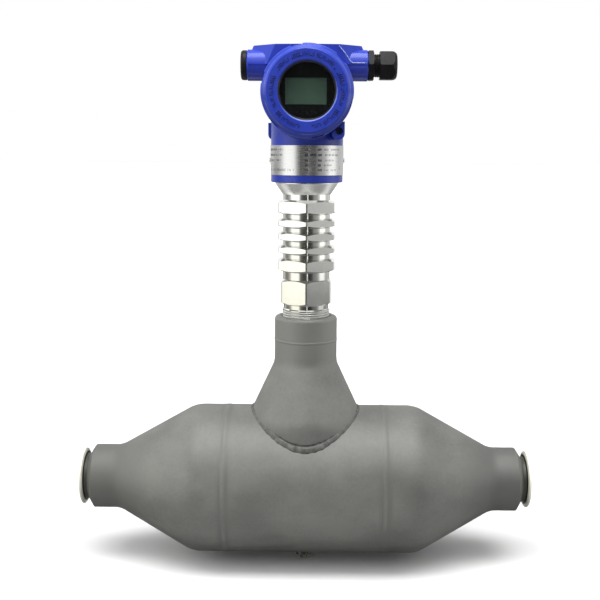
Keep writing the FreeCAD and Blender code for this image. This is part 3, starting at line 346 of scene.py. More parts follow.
def raised_pads(centres, half_widths, half_heights, thickness, sunk, place):
    """Rounded pads on a surface. Each outline is |u/a|^4 + |v/b|^4 = 1, and rises in rings from below
    the surface to a smaller flat top; place(u, v, w) puts them on the surface."""
    corners = 20
    t = 2 * np.pi * np.arange(corners) / corners
    u = np.sign(np.cos(t)) * np.abs(np.cos(t)) ** 0.5
    v = np.sign(np.sin(t)) * np.abs(np.sin(t)) ** 0.5
    inset = 0.55 * thickness
    rings = np.array([(0.0, -sunk), (0.0, 0.25 * thickness), (0.6 * inset, 0.8 * thickness),
                      (inset, thickness)])
    pads = len(centres)
    a = half_widths[:, None, None] - rings[None, :, :1]
    b = half_heights[:, None, None] - rings[None, :, :1]
    w = np.broadcast_to(rings[None, :, 1:], (pads, len(rings), corners))
    points = place(centres[:, 0, None, None] + a * u, centres[:, 1, None, None] + b * v, w)
    one = capped_tube(points[0])
    step = len(rings) * corners
    faces = [[i + k * step for i in face] for k in range(pads) for face in one]
    return points, faces


def cover_bars(detail):
    """Bars round the ring on the front cover's face, standing across it, with a few short ones that lie
    along it and gaps between groups. A bar at arc length u and height v over the ring's middle is at the
    angle u / radius from the top."""
    index = np.arange(detail.relief_count)
    gap = (index % 11 == 4) | (index % 19 > 16) | (np.abs(index - detail.relief_count / 2) < 2.5)
    index = index[~gap]
    pick = (3 * index * index + 7 * index) % 17
    lying = (pick == 2) | (pick == 9) | (pick == 13)
    shift = np.where(pick % 2 == 0, 1.25, -1.25) * lying
    along = 2 * np.pi * index / detail.relief_count * detail.relief_radius
    wide = np.where(lying, 0.72, 0.32 + 0.05 * (pick % 5)) * MM
    tall = np.where(lying, 0.55, 1.45 + 0.15 * (pick % 5)) * MM

    def on_face(u, v, w):
        turn = u / detail.relief_radius
        radius = detail.relief_radius + v
        return np.stack([AXIS_X + radius * np.sin(turn), COVER_FACE_Y - w + 0 * u,
                         BARREL_Z + radius * np.cos(turn)], -1)

    centres = np.stack([along, shift * MM], 1)
    return raised_pads(centres, wide, tall, detail.relief_height, 0.2 * MM, on_face)


def roof_edge(detail):
    """Thin strip along the roof's edge that carries a painted glint: a circle of radius r (cos t, sin t),
    carried through the edge's corners, where r wavers a little and thins out at both ends."""
    rows, columns = 160, 10
    s = np.linspace(0, 1, rows)
    corners = np.array(ROOF_EDGE) * [MM, -MM, -MM] + [AXIS_X, 0, ROOF_Z]
    path = np.stack([np.interp(s, ROOF_EDGE_SHARE, corners[:, k]) for k in range(3)], 1)
    t = 2 * np.pi * np.arange(columns) / columns
    fade = np.clip(np.minimum(s, 1 - s) * 14, 0.05, 1)
    radius = detail.edge_width * fade * (0.85 + 0.15 * wave(23, s, 0.2))
    section = radius[:, None, None] * np.stack([np.cos(t), np.sin(t)], -1)[None]
    points = sweep(path, np.tile([0.0, -1.0, 0.0], (rows, 1)), section)
    return points, capped_tube(points)


def plate_ticks():
    """Ticks in blocks on the nameplate and one upright rule, as pads wrapped round the band: a tick at arc
    length u is at the angle u / radius from the front."""
    height = PLATE_HIGH - PLATE_LOW
    centres = [(PLATE_R * math.radians(PLATE_RULE), PLATE_LOW + height / 2)]
    wide, tall = [0.16 * MM], [0.42 * height]
    for row, (share_up, first, last, high, inked) in enumerate(PLATE_BLOCKS):
        for k in range(round((last - first) / TICK_STEP)):
            pick = (7 * k + 5 * row + k * k // 3) % 11
            if inked < 0.5 and pick in (3, 6, 8):
                continue
            z = PLATE_LOW + height * share_up + (pick % 3 - 1) * 0.12 * MM
            centres.append((PLATE_R * math.radians(first + TICK_STEP * k), z))
            wide.append(inked * (0.85 + 0.05 * (pick % 7)) * PLATE_R * math.radians(TICK_STEP / 2))
            tall.append(high * (0.70 + 0.10 * (pick % 4)) * MM)

    def on_band(u, v, w):
        turn = u / PLATE_R
        radius = PLATE_R + w
        return np.stack([AXIS_X + radius * np.sin(turn), -radius * np.cos(turn), v + 0 * u], -1)

    return raised_pads(np.array(centres), np.array(wide), np.array(tall), 0.03 * MM, 0.02 * MM, on_band)


# Materials


def bare_tree(block, kind):
    """Emptied node tree of a material or world, with its output node."""
    block.use_nodes = True
    block.node_tree.nodes.clear()
    return block.node_tree, block.node_tree.nodes.new("ShaderNodeOutput" + kind)


class Shader:
    """Principled material under construction, with short names for its usual nodes."""

    def __init__(self, name, base, roughness, metallic=0.0):
        self.material = bpy.data.materials.new(name)
        self.tree, self.output = bare_tree(self.material, "Material")
        self.surface = self.tree.nodes.new("ShaderNodeBsdfPrincipled")
        self.link(self.surface.outputs[0], self.output.inputs["Surface"])
        self.base = base
        self.set("Base Color", (*base, 1))
        self.set("Roughness", roughness)
        self.set("Metallic", metallic)
        self.coords = self.node("TexCoord").outputs["Object"]

    def node(self, kind):
        return self.tree.nodes.new("ShaderNode" + kind)

    def link(self, source, target):
        self.tree.links.new(source, target)

    def set(self, socket, value):
        self.surface.inputs[socket].default_value = value

    def feed(self, socket, source):
        self.link(source, self.surface.inputs[socket])

    def mapped(self, scale):
        """Object coordinates, stretched along the axes."""
        mapping = self.node("Mapping")
        mapping.inputs["Scale"].default_value = scale
        self.link(self.coords, mapping.inputs["Vector"])
        return mapping.outputs[0]

    def noise(self, vector, scale, detail, roughness):
        """Cloudy grain; scale is in grains a metre."""
        texture = self.node("TexNoise")
        texture.inputs["Scale"].default_value = scale
        texture.inputs["Detail"].default_value = detail
        texture.inputs["Roughness"].default_value = roughness
        self.link(vector, texture.inputs["Vector"])
        return texture.outputs["Fac"]

    def spread(self, value, low, high, source=(0.3, 0.7)):
        """Moves a value from one span to another."""
        remap = self.node("MapRange")
        for socket, number in zip(("From Min", "From Max", "To Min", "To Max"), (*source, low, high)):
            remap.inputs[socket].default_value = number
        self.link(value, remap.inputs["Value"])
        return remap.outputs[0]

    def math(self, operation, first, second=None):
        """One sum; a number may stand in for either input."""
        node = self.node("Math")
        node.operation = operation
        for socket, value in zip(node.inputs, (first, second)):
            if isinstance(value, (int, float)):
                socket.default_value = value
            elif value is not None:
                self.link(value, socket)
        return node.outputs[0]

    def along(self, axis):
        """Place along one axis, in metres."""
        place = self.node("SeparateXYZ")
        self.link(self.coords, place.inputs[0])
        return place.outputs[axis]

    def from_line(self, first, a, second, b):
        """Distance from a line along the third axis, which runs through a and b on the other two."""
        one = self.math("POWER", self.math("SUBTRACT", self.along(first), a), 2.0)
        two = self.math("POWER", self.math("SUBTRACT", self.along(second), b), 2.0)
        return self.math("SQRT", self.math("ADD", one, two))

    def shade(self, first, second, factor):
        """Blend of two colours by a factor."""
        blend = self.node("Mix")
        blend.data_type = "RGBA"
        self.link(factor, blend.inputs[0])
        for socket, value in zip(blend.inputs[6:8], (first, second)):
            if isinstance(value, tuple):
                socket.default_value = (*value, 1)
            else:
                self.link(value, socket)
        return blend.outputs[2]

    def tint(self, factor):
        """The base colour made darker or lighter by a factor."""
        return tuple(min(1.0, channel * factor) for channel in self.base)

    def bump(self, height, strength, distance, under=None):
        """Relief from a height, in metres, on top of another relief if there is one."""
        relief = self.node("Bump")
        relief.inputs["Strength"].default_value = strength
        relief.inputs["Distance"].default_value = distance
        self.link(height, relief.inputs["Height"])
        if under is not None:
            self.link(under, relief.inputs["Normal"])
        return relief.outputs[0]


def blasted_steel(finish):
    """Bead-blasted stainless: cloudy grey with a fine grain, with turning marks beside the ring seams. It is
    made paler up the branch as painted light, and darker at both ends as painted shade."""
    s = Shader("blasted_steel", tuple(finish.blasted_colour), finish.blasted_roughness, 1.0)
    clouds = s.noise(s.mapped((1.0, 1.0, 1.4)), 20, 4, 0.6)
    spots = s.noise(s.coords, 420, 3, 0.6)
    mixed = s.math("ADD", s.math("MULTIPLY", clouds, 0.7), s.math("MULTIPLY", spots, 0.3))
    metal = s.shade(s.tint(0.85), s.tint(1.13), s.spread(mixed, 0, 1, (0.38, 0.62)))
    from_axis = s.math("ABSOLUTE", s.math("SUBTRACT", s.along(X), AXIS_X))
    # Painted light: the metal is made paler higher up, on the collar and branch
    metal = s.shade(metal, s.tint(1.14), s.spread(s.along(Z), 0, 0.75, (100 * MM, 130 * MM)))
    # Painted shade: the metal is made darker towards both ends
    metal = s.shade(metal, s.tint(0.74), s.spread(from_axis, 0, 0.75, (135 * MM, 170 * MM)))
    from_seam = s.math("ABSOLUTE", s.math("SUBTRACT", from_axis, TUBE_HALF))
    lines = s.noise(s.mapped((1500.0, 5.0, 5.0)), 1.0, 2, 0.6)
    off_seam = s.spread(from_seam, 0, 1, (0.6 * MM, 1.6 * MM))
    beside = s.math("MULTIPLY", off_seam, s.spread(from_seam, 1, 0, (3.2 * MM, 7.5 * MM)))
    band = s.math("MULTIPLY", beside, s.spread(lines, 0.25, 1.0, (0.38, 0.62)))
    s.feed("Base Color", s.shade(metal, s.tint(0.88), band))
    rough = finish.blasted_roughness
    s.feed("Roughness", s.spread(mixed, rough - 0.04, rough + 0.06, (0.38, 0.62)))
    grain = s.noise(s.coords, 2600, 2, 0.5)
    s.feed("Normal", s.bump(grain, 0.25, 0.12 * MM, s.bump(spots, 0.10, 0.3 * MM)))
    return s.material


def weld_steel(finish):
    """Weld metal: dull, scaly and patchy, with painted shade in the toes where a bead meets the wall."""
    s = Shader("weld_steel", tuple(finish.weld_colour), 0.62, 1.0)
    patches = s.noise(s.coords, 240, 4, 0.65)
    metal = s.shade(s.tint(0.64), s.tint(1.22), s.spread(patches, 0, 1, (0.35, 0.65)))
    # Painted shade: the bead is made dark in its toes, the creases where it meets the wall
    toe = s.node("Attribute")
    toe.attribute_name = "toe"
    s.feed("Base Color", s.shade(metal, s.tint(0.30), s.spread(toe.outputs["Fac"], 0, 1, (0.72, 0.92))))
    s.feed("Roughness", s.spread(patches, 0.56, 0.70, (0.35, 0.65)))
    scale = s.noise(s.coords, 1300, 3, 0.6)
    s.feed("Normal", s.bump(scale, 0.35, 0.4 * MM, s.bump(patches, 0.40, 0.8 * MM)))
    return s.material


def polished_steel(finish, name, dulled=0.0):
    """Turned and polished steel, with fine tool lines round its upright axis and faint smears; satin on the
    flare, and made paler there as painted light."""
    s = Shader(name, tuple(finish.polished_colour), finish.polished_roughness, 1.0)
    lines = s.noise(s.mapped((4.0, 4.0, 2600.0)), 1.0, 2, 0.5)
    smears = s.noise(s.coords, 90, 3, 0.6)
    flare = s.spread(s.along(Z), 0, 1, (FLARE_Z, FLARE_Z + MM))
    metal = s.shade(s.tint(0.93), s.tint(1.03), s.spread(smears, 0, 1))
    # Painted light: the flare is made paler than the rest of the neck
    s.feed("Base Color", s.shade(metal, s.tint(1.16), flare))
    low = finish.polished_roughness - 0.03
    wear = s.math("ADD", s.math("MULTIPLY", smears, 0.6), s.math("MULTIPLY", lines, 0.4))
    satin = s.math("ADD", s.math("MULTIPLY", flare, 0.20), dulled)
    s.feed("Roughness", s.math("ADD", s.spread(wear, low, low + 0.10), satin))
    s.feed("Normal", s.bump(lines, 0.05, 0.05 * MM))
    return s.material


def ferrule_steel():
    """Clamp ferrule: bright on the rim, with painted shade in the corner behind it, and dull on the tube."""
    s = Shader("ferrule_steel", (0.86, 0.85, 0.73), 0.2, 1.0)
    radius = s.from_line(Y, 0.0, Z, 0.0)
    rim = s.spread(radius, 0, 1, (FERRULE_R - 3.0 * MM, FERRULE_R - 2.2 * MM))
    tube = s.spread(radius, 1, 0, (FERRULE_R - 4.6 * MM, FERRULE_R - 4.0 * MM))
    lines = s.noise(s.mapped((2600.0, 4.0, 4.0)), 1.0, 2, 0.5)
    smears = s.noise(s.coords, 90, 3, 0.6)
    bright = s.shade(s.tint(0.90), s.tint(1.06), s.spread(smears, 0, 1))
    dull = s.shade((0.095, 0.095, 0.087), (0.148, 0.148, 0.135), s.spread(lines, 0, 1))
    # Painted shade: the taper between the tube and the rim is made near black
    corner_shade = s.shade((0.035, 0.035, 0.024), dull, tube)
    s.feed("Base Color", s.shade(corner_shade, bright, rim))
    s.feed("Metallic", s.spread(rim, 0.85, 0.30, (0, 1)))
    s.feed("Roughness", s.math("ADD", s.spread(smears, 0.40, 0.48), s.math("MULTIPLY", rim, -0.26)))
    s.feed("Normal", s.bump(lines, 0.05, 0.05 * MM))
    return s.material


def cast_plug():
    """Drain plug: patchy steel, dark with bright patches at random."""
    s = Shader("plug_steel", (0.42, 0.42, 0.38), 0.42, 0.35)
    patches = s.noise(s.coords, 330, 3, 0.65)
    s.feed("Base Color", s.shade((0.10, 0.10, 0.09), s.tint(1.2), s.spread(patches, 0, 1, (0.42, 0.60))))
    s.feed("Normal", s.bump(patches, 0.25, 0.5 * MM))
    return s.material


def plate_steel(finish):
    """Thin brushed sheet, its lines running round the band."""
    s = Shader("plate_steel", tuple(finish.plate_colour), 0.26, 1.0)
    lines = s.noise(s.mapped((30.0, 30.0, 5200.0)), 1.0, 2, 0.6)
    s.feed("Base Color", s.shade(s.tint(0.975), s.tint(1.02), s.spread(lines, 0, 1)))
    s.feed("Roughness", s.spread(lines, 0.24, 0.29))
    s.feed("Normal", s.bump(lines, 0.012, 0.04 * MM))
    return s.material


def blue_paint(finish, name="blue_paint", depth=1.0, lip=None):
    """Powder coat over a casting: deep blue with a fine orange peel and small shade drifts. With a lip, it
    gets painted highlights on the window's lip and the face's edge, and is masked off and black inside that
    radius about the covers' axis."""
    # A depth below 1 darkens the paint, as painted shade on the cover's raised bars
    s = Shader(name, tuple(depth * channel for channel in finish.paint_colour), finish.paint_roughness)
    drift = s.noise(s.coords, 60, 3, 0.55)
    paint = s.shade(s.tint(0.90), s.tint(1.10), s.spread(drift, 0, 1))
    if lip is not None:
        radius = s.from_line(X, AXIS_X, Z, BARREL_Z)
        # Painted highlight: pale blue on the window's lip and on the face's edge
        paint = s.shade(paint, (0.20, 0.25, 0.58), painted_edge_highlights(s, radius, lip))
        outside = s.spread(radius, 0, 1, (lip - 0.2 * MM, lip + 0.2 * MM))
        paint = s.shade((0.004, 0.004, 0.005), paint, outside)
    s.feed("Base Color", paint)
    s.set("Coat Weight", 0.25)
    s.set("Coat Roughness", 0.08)
    peel = s.noise(s.coords, 900, 2, 0.5)
    s.feed("Roughness", s.spread(drift, finish.paint_roughness - 0.04, finish.paint_roughness + 0.05))
    s.feed("Normal", s.bump(peel, 0.10, 0.2 * MM))
    return s.material


def painted_edge_highlights(s, radius, lip):
    """Painted highlights on the front cover: the lower right of the window's lip, and in places the ring
    where the cover's face meets its chamfer."""
    slope = 0.45
    slant = s.math("SUBTRACT", s.along(Z), s.math("MULTIPLY", s.along(X), slope))
    middle = BARREL_Z - slope * AXIS_X
    lower = s.spread(slant, 0.8, 0, (middle - 16 * MM, middle))
    lip_edge = s.math("MULTIPLY", s.spread(radius, 1, 0, (lip + 0.5 * MM, lip + 0.9 * MM)), lower)
    inside = s.spread(radius, 0, 1, (lip + 10.7 * MM, lip + 11.1 * MM))
    line = s.math("MULTIPLY", inside, s.spread(radius, 1, 0, (lip + 11.3 * MM, lip + 11.7 * MM)))
    glint_patches = s.spread(s.noise(s.coords, 70, 3, 0.6), 0, 0.45, (0.35, 0.6))
    return s.math("MAXIMUM", lip_edge, s.math("MULTIPLY", line, glint_patches))


def glint_paint():
    """Painted glint on an edge: bright pale blue, with deep blue in patches."""
    s = Shader("glint_paint", (0.40, 0.45, 0.74), 0.25, 0.2)
    glint_patches = s.noise(s.coords, 420, 3, 0.6)
    s.feed("Base Color", s.shade((0.06, 0.09, 0.48), s.tint(1.25), s.spread(glint_patches, 0, 1, (0.35, 0.5))))
    return s.material


def moulded(name, base, roughness, grain=1800, relief=0.15, sheen=0.5):
    """Moulded plastic or rubber with a fine grained skin; sheen is how much it mirrors."""
    s = Shader(name, base, roughness)
    s.set("Specular IOR Level", sheen)
    skin = s.noise(s.coords, grain, 2, 0.5)
    drift = s.noise(s.coords, 120, 2, 0.5)
    s.feed("Base Color", s.shade(s.tint(0.8), s.tint(1.25), s.spread(drift, 0, 1)))
    s.feed("Roughness", s.spread(skin, roughness - 0.06, roughness + 0.06))
    s.feed("Normal", s.bump(skin, relief, 0.12 * MM))
    return s.material


def plain_metal(name, base, roughness):
    """Small turned or plated metal part with a faint grain."""
    s = Shader(name, base, roughness, 1.0)
    skin = s.noise(s.coords, 900, 2, 0.5)
    s.feed("Base Color", s.shade(s.tint(0.85), s.tint(1.1), s.spread(skin, 0, 1)))
    s.feed("Roughness", s.spread(skin, roughness - 0.06, roughness + 0.08))
    return s.material


def lcd_face(finish):
    """Switched-off reflective display: grey-green with a faint dot matrix."""
    s = Shader("lcd_face", tuple(finish.lcd_colour), 0.3)
    s.set("Specular IOR Level", 0.15)
    dots = s.node("TexBrick")
    dots.offset = 0.0
    white, black = (1, 1, 1, 1), (0, 0, 0, 1)
    for socket, value in (("Scale", 1.0), ("Brick Width", 0.5), ("Row Height", 0.5), ("Mortar Size", 0.05),
                          ("Color1", white), ("Color2", white), ("Mortar", black)):
        dots.inputs[socket].default_value = value
    turn = s.node("Mapping")
    turn.inputs["Rotation"].default_value = (math.radians(90), 0, 0)
    turn.inputs["Scale"].default_value = (900, 900, 900)
    s.link(s.coords, turn.inputs["Vector"])
    s.link(turn.outputs[0], dots.inputs["Vector"])
    drift = s.noise(s.coords, 45, 2, 0.5)
    glass = s.shade(s.tint(0.88), s.tint(1.1), s.spread(drift, 0, 1))
    s.feed("Base Color", s.shade(s.tint(0.8), glass, dots.outputs["Color"]))
    return s.material


def window_glass():
    """Clear glass that also lets the lamps through."""
    s = Shader("window_glass", (0.93, 0.97, 0.95), 0.02)
    s.set("Transmission Weight", 1.0)
    s.set("IOR", 1.5)
    clear = s.node("BsdfTransparent")
    clear.inputs["Color"].default_value = (0.93, 0.97, 0.95, 1)
    either = s.node("MixShader")
    s.link(s.node("LightPath").outputs["Is Shadow Ray"], either.inputs[0])
    s.link(s.surface.outputs[0], either.inputs[1])
    s.link(clear.outputs[0], either.inputs[2])
    s.link(either.outputs[0], s.output.inputs["Surface"])
    return s.material


def circuit_board():
    """Green solder mask with pale tracks."""
    s = Shader("circuit_board", (0.02, 0.12, 0.05), 0.35)
    tracks = s.noise(s.mapped((1.0, 1.0, 3.0)), 420, 1, 0.3)
    s.feed("Base Color", s.shade(s.tint(1.0), (0.05, 0.22, 0.09), s.spread(tracks, 0, 1, (0.5, 0.53))))
    return s.material


def dress(material, *names):
    """Gives a finish to CAD nodes."""
    for name in names:
        slots = NODES[name].data.materials
        slots.clear()
        slots.append(material)


# Operators


class METER_OT_chamber(Operator):
    """Finish the blasted flow chamber and its ring seams"""

    bl_idname = "meter.chamber"
    bl_label = "Flow chamber"

    def execute(self, context):
        finish = context.scene.meter_finish
        dress(blasted_steel(finish), "centre_tube", "inlet_reducer", "outlet_reducer", "branch_reducer",
              "branch_collar", "inlet_seam_weld", "outlet_seam_weld", "collar_weld")
        return {"FINISHED"}


class METER_OT_welds(Operator):
    """Lay the rippled saddle weld and finish the drain boss"""

    bl_idname = "meter.welds"
    bl_label = "Welds"

    def execute(self, context):
        metal = weld_steel(context.scene.meter_finish)
        dress(metal, "drain_boss")
        points, faces, toe = saddle_bead(context.scene.meter_detail)
        bead = add_piece("saddle_bead", points, faces, metal, "flow_chamber")
        bead.data.attributes.new("toe", "FLOAT", "POINT").data.foreach_set("value", toe.ravel())
        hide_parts("branch_weld")
        return {"FINISHED"}


class METER_OT_neck(Operator):
    """Finish the neck, ferrules, drain plug and fork, and cut the thread above the collar"""

    bl_idname = "meter.neck"
    bl_label = "Neck and ferrules"

    def execute(self, context):
        finish, detail = context.scene.meter_finish, context.scene.meter_detail
        dress(polished_steel(finish, "polished_steel"), "sensor_neck", "nameplate_rivets")
        dress(cast_plug(), "drain_plug")
        dress(ferrule_steel(), "inlet_ferrule", "outlet_ferrule")
        dress(plain_metal("fork_steel", (0.55, 0.55, 0.54), 0.3), "tuning_fork", "temperature_probe",
              "feedthrough")
        dress(moulded("piezo_ceramic", (0.72, 0.69, 0.60), 0.5), "drive_piezo", "pickup_piezo")
        dress(moulded("lead_sheath", (0.60, 0.60, 0.57), 0.45), "signal_lead")
        points, faces = thread_ridge(detail.neck_root, COLLAR_TOP - 1.2 * MM, COLLAR_TOP + 6.0 * MM,
                                     detail.neck_pitch, detail.neck_depth)
        points = points + [AXIS_X, 0, 0]
        thread = polished_steel(finish, "thread_steel", 0.24)
        add_piece("neck_thread", points, faces, thread, "flow_chamber")
        return {"FINISHED"}


class METER_OT_housing(Operator):
    """Paint the housing and covers, finish screws and seals, lay a painted glint on the roof's edge, raise
    the cover's bars
    """

    bl_idname = "meter.housing"
    bl_label = "Housing and covers"

    def execute(self, context):
        finish, detail = context.scene.meter_finish, context.scene.meter_detail
        dress(blue_paint(finish), "housing", "rear_cover")
        dress(blue_paint(finish, "cover_paint", 1.0, detail.window_lip), "front_cover")
        screws = plain_metal("screw_steel", (0.045, 0.055, 0.13), 0.35)
        dress(screws, "front_lock_screw", "rear_lock_screw", "swivel_lock_screw")
        rubber = moulded("seal_rubber", (0.02, 0.02, 0.02), 0.6)
        dress(rubber, "front_cover_seal", "rear_cover_seal", "window_gasket", "gland_seal")
        points, faces = roof_edge(detail)
        # Painted glint along the roof's edge
        add_piece("edge_glint", points, faces, glint_paint(), "transmitter")
        points, faces = cover_bars(detail)
        # Painted shade: the cover's bars get a darker copy of the blue paint
        add_piece("cover_relief", points, faces, blue_paint(finish, "shaded_relief_paint", 0.38), "front_cover_set")
        return {"FINISHED"}


class METER_OT_nameplate(Operator):
    """Brush the nameplate and print its ticks"""

    bl_idname = "meter.nameplate"
    bl_label = "Nameplate"

    def execute(self, context):
        finish = context.scene.meter_finish
        dress(plate_steel(finish), "nameplate")
        ink = moulded("plate_ink", tuple(finish.ink_colour), 0.6, sheen=0.05)
        points, faces = plate_ticks()
        add_piece("plate_marks", points, faces, ink, "transmitter")
        return {"FINISHED"}


class METER_OT_display(Operator):
    """Finish the window, display, keys and the boards behind them"""

    bl_idname = "meter.display"
    bl_label = "Window and display"

    def execute(self, context):
        finish = context.scene.meter_finish
        dress(window_glass(), "window_glass")
        dress(moulded("bezel_black", tuple(finish.bezel_colour), 0.5, 2400, 0.1, 0.08), "display_module")
        dress(lcd_face(finish), "lcd_panel")
        keys = moulded("key_rubber", (0.008, 0.008, 0.009), 0.55, sheen=0.1)
        dress(keys, "display_key_left", "display_key_centre", "display_key_right")
        dress(plain_metal("retainer_aluminium", (0.60, 0.61, 0.63), 0.3), "window_retainer")
        dress(circuit_board(), "main_board")
        brass = plain_metal("post_brass", (0.72, 0.55, 0.25), 0.28)
        dress(brass, "board_posts", "display_posts", "terminal_screws")
        dress(moulded("terminal_plastic", (0.03, 0.03, 0.033), 0.5), "terminal_block")
        return {"FINISHED"}


class METER_OT_conduit(Operator):
    """Finish the blanking plug and the cable gland, and cut the gland's thread"""

    bl_idname = "meter.conduit"
    bl_label = "Conduit entries"

    def execute(self, context):
        finish, detail = context.scene.meter_finish, context.scene.meter_detail
        nylon = moulded("black_nylon", tuple(finish.nylon_colour), 0.36, 1500, 0.12, 0.20)
        dress(nylon, "conduit_plug", "gland_body", "gland_nut")
        points, faces = thread_ridge(detail.gland_root, GLAND_NUT_X - 4.6 * MM, GLAND_NUT_X - 0.3 * MM,
                                     detail.gland_pitch, detail.gland_depth)
        points = np.stack([points[..., 2], points[..., 1], GLAND_Z - points[..., 0]], -1)
        add_piece("gland_thread", points, faces, nylon, "transmitter")
        return {"FINISHED"}


class METER_OT_stage(Operator):
    """Set the camera, lamps, floor and reflecting cards"""

    bl_idname = "meter.stage"
    bl_label = "Stage"

    def execute(self, context):
        stage = context.scene.meter_stage
        context.scene.view_settings.view_transform = "Standard"
        set_camera(stage)
        set_world(stage)
        for name, lean in (("top_light_left", -0.42), ("top_light", -0.02), ("top_light_right", 0.38)):
            sun(name, (lean, -0.25, 1.0), stage.top_strength / 3, 26)
        sun("key_light", (-0.10, -0.80, 0.75), stage.key_strength, 50)
        sun("left_light", (-1.0, -0.32, 0.75), stage.left_strength, 50)
        sun("right_light", (1.0, -0.50, 1.5), stage.right_strength, 50)
        lay_floor(stage)
        set_cards(stage)
        return {"FINISHED"}


# Stage


def set_camera(stage):
    """Camera at the photograph's angle."""
    data = bpy.data.cameras.new("camera")
    data.sensor_width = 36
    data.lens = stage.lens
    data.clip_start, data.clip_end = 0.01, 100
    camera = bpy.data.objects.new("camera", data)
    turn = Matrix.Rotation(stage.camera_yaw, 4, "Z")
    turn = turn @ Matrix.Rotation(math.pi / 2 - stage.camera_pitch, 4, "X")
    turn = turn @ Matrix.Rotation(stage.camera_roll, 4, "Z")
    camera.matrix_world = Matrix.Translation(Vector(stage.camera_place)) @ turn
    bpy.context.scene.collection.objects.link(camera)
    bpy.context.scene.camera = camera


def seen_rays(tree):
    """1 for camera, glossy and transmission rays, 0 for the rays that carry light."""
    path = tree.nodes.new("ShaderNodeLightPath")
    seen = path.outputs["Is Camera Ray"]
    for ray in ("Is Glossy Ray", "Is Transmission Ray"):
        either = tree.nodes.new("ShaderNodeMath")
        either.operation = "MAXIMUM"
        tree.links.new(seen, either.inputs[0])
        tree.links.new(path.outputs[ray], either.inputs[1])
        seen = either.outputs[0]
    return seen


def set_world(stage):
    """White background that lights the object only softly."""
    bpy.context.scene.world = bpy.data.worlds.new("studio")
    tree, output = bare_tree(bpy.context.scene.world, "World")
    background = tree.nodes.new("ShaderNodeBackground")
    background.inputs["Color"].default_value = (1, 1, 1, 1)
    strength = tree.nodes.new("ShaderNodeMapRange")
    strength.inputs["To Min"].default_value = stage.ambient
    strength.inputs["To Max"].default_value = 1.0
    tree.links.new(seen_rays(tree), strength.inputs["Value"])
    tree.links.new(strength.outputs[0], background.inputs["Strength"])
    tree.links.new(background.outputs[0], output.inputs["Surface"])


def sun(name, towards, strength, spread):
    """Soft lamp far away in a direction, which doesn't mirror in the metal."""
    data = bpy.data.lights.new(name, "SUN")
    data.energy = strength
    data.angle = math.radians(spread)
    lamp = bpy.data.objects.new(name, data)
    lamp.rotation_euler = Vector(towards).to_track_quat("Z", "Y").to_euler()
    lamp.visible_glossy = False
    bpy.context.scene.collection.objects.link(lamp)


def stage_sheet(name, points, faces, material):
    """Sheet of the stage, from lists of points and faces."""
    mesh = bpy.data.meshes.new(name)
    mesh.from_pydata(points, [], faces)
    mesh.materials.append(material)
    sheet = bpy.data.objects.new(name, mesh)
    bpy.context.scene.collection.objects.link(sheet)
    return sheet


def lay_floor(stage):
    """Pale floor: white to the eye, duller in reflections and in the light that bounces off it, and clear
    from below."""
    material = bpy.data.materials.new("floor")
    tree, output = bare_tree(material, "Material")
    diffuse = tree.nodes.new("ShaderNodeBsdfDiffuse")
    rays = tree.nodes.new("ShaderNodeLightPath")
    tone = None
    for ray, grey in (("Is Glossy Ray", FLOOR_MIRRORED), ("Is Camera Ray", stage.floor_shade)):
        shade = tree.nodes.new("ShaderNodeMix")
        shade.data_type = "RGBA"
        shade.inputs[6].default_value = (FLOOR_BOUNCE, FLOOR_BOUNCE, FLOOR_BOUNCE, 1)
        shade.inputs[7].default_value = (grey, grey, grey, 1)
        tree.links.new(rays.outputs[ray], shade.inputs[0])
        if tone is not None:
            tree.links.new(tone, shade.inputs[6])
        tone = shade.outputs[2]
    tree.links.new(tone, diffuse.inputs["Color"])
    clear = tree.nodes.new("ShaderNodeBsdfTransparent")
    facing = tree.nodes.new("ShaderNodeNewGeometry")
    either = tree.nodes.new("ShaderNodeMixShader")
    tree.links.new(facing.outputs["Backfacing"], either.inputs[0])
    tree.links.new(diffuse.outputs[0], either.inputs[1])
    tree.links.new(clear.outputs[0], either.inputs[2])
    tree.links.new(either.outputs[0], output.inputs["Surface"])
    reach = 30.0
    z = FLOOR_Z - 0.2 * MM
    corners = [(-reach, -reach, z), (reach, -reach, z), (reach, reach, z), (-reach, reach, z)]
    stage_sheet("floor", corners, [(0, 1, 2, 3)], material)


def glow(name):
    """Light of a sheet's own colour attribute."""
    material = bpy.data.materials.new(name)
    tree, output = bare_tree(material, "Material")
    light = tree.nodes.new("ShaderNodeEmission")
    shade = tree.nodes.new("ShaderNodeAttribute")
    shade.attribute_name = "shade"
    tree.links.new(shade.outputs["Color"], light.inputs["Color"])
    tree.links.new(light.outputs[0], output.inputs["Surface"])
    return material


def shaded_sheet(name, points, shades):
    """Sheet of the stage from a grid of points, with a brightness at each; it is seen only in reflections."""
    rows, columns, _ = points.shape
    faces = grid_faces(rows, columns, False, False)
    sheet = stage_sheet(name, points.reshape(-1, 3).tolist(), faces.tolist(), glow(name))
    values = np.broadcast_to(shades.reshape(rows * columns, -1), (rows * columns, 3))
    values = np.concatenate([values, np.ones((rows * columns, 1))], 1)
    colours = sheet.data.color_attributes.new("shade", "FLOAT_COLOR", "POINT")
    colours.data.foreach_set("color", values.ravel())
    sheet.visible_camera = False
    sheet.visible_diffuse = False
    sheet.visible_shadow = False


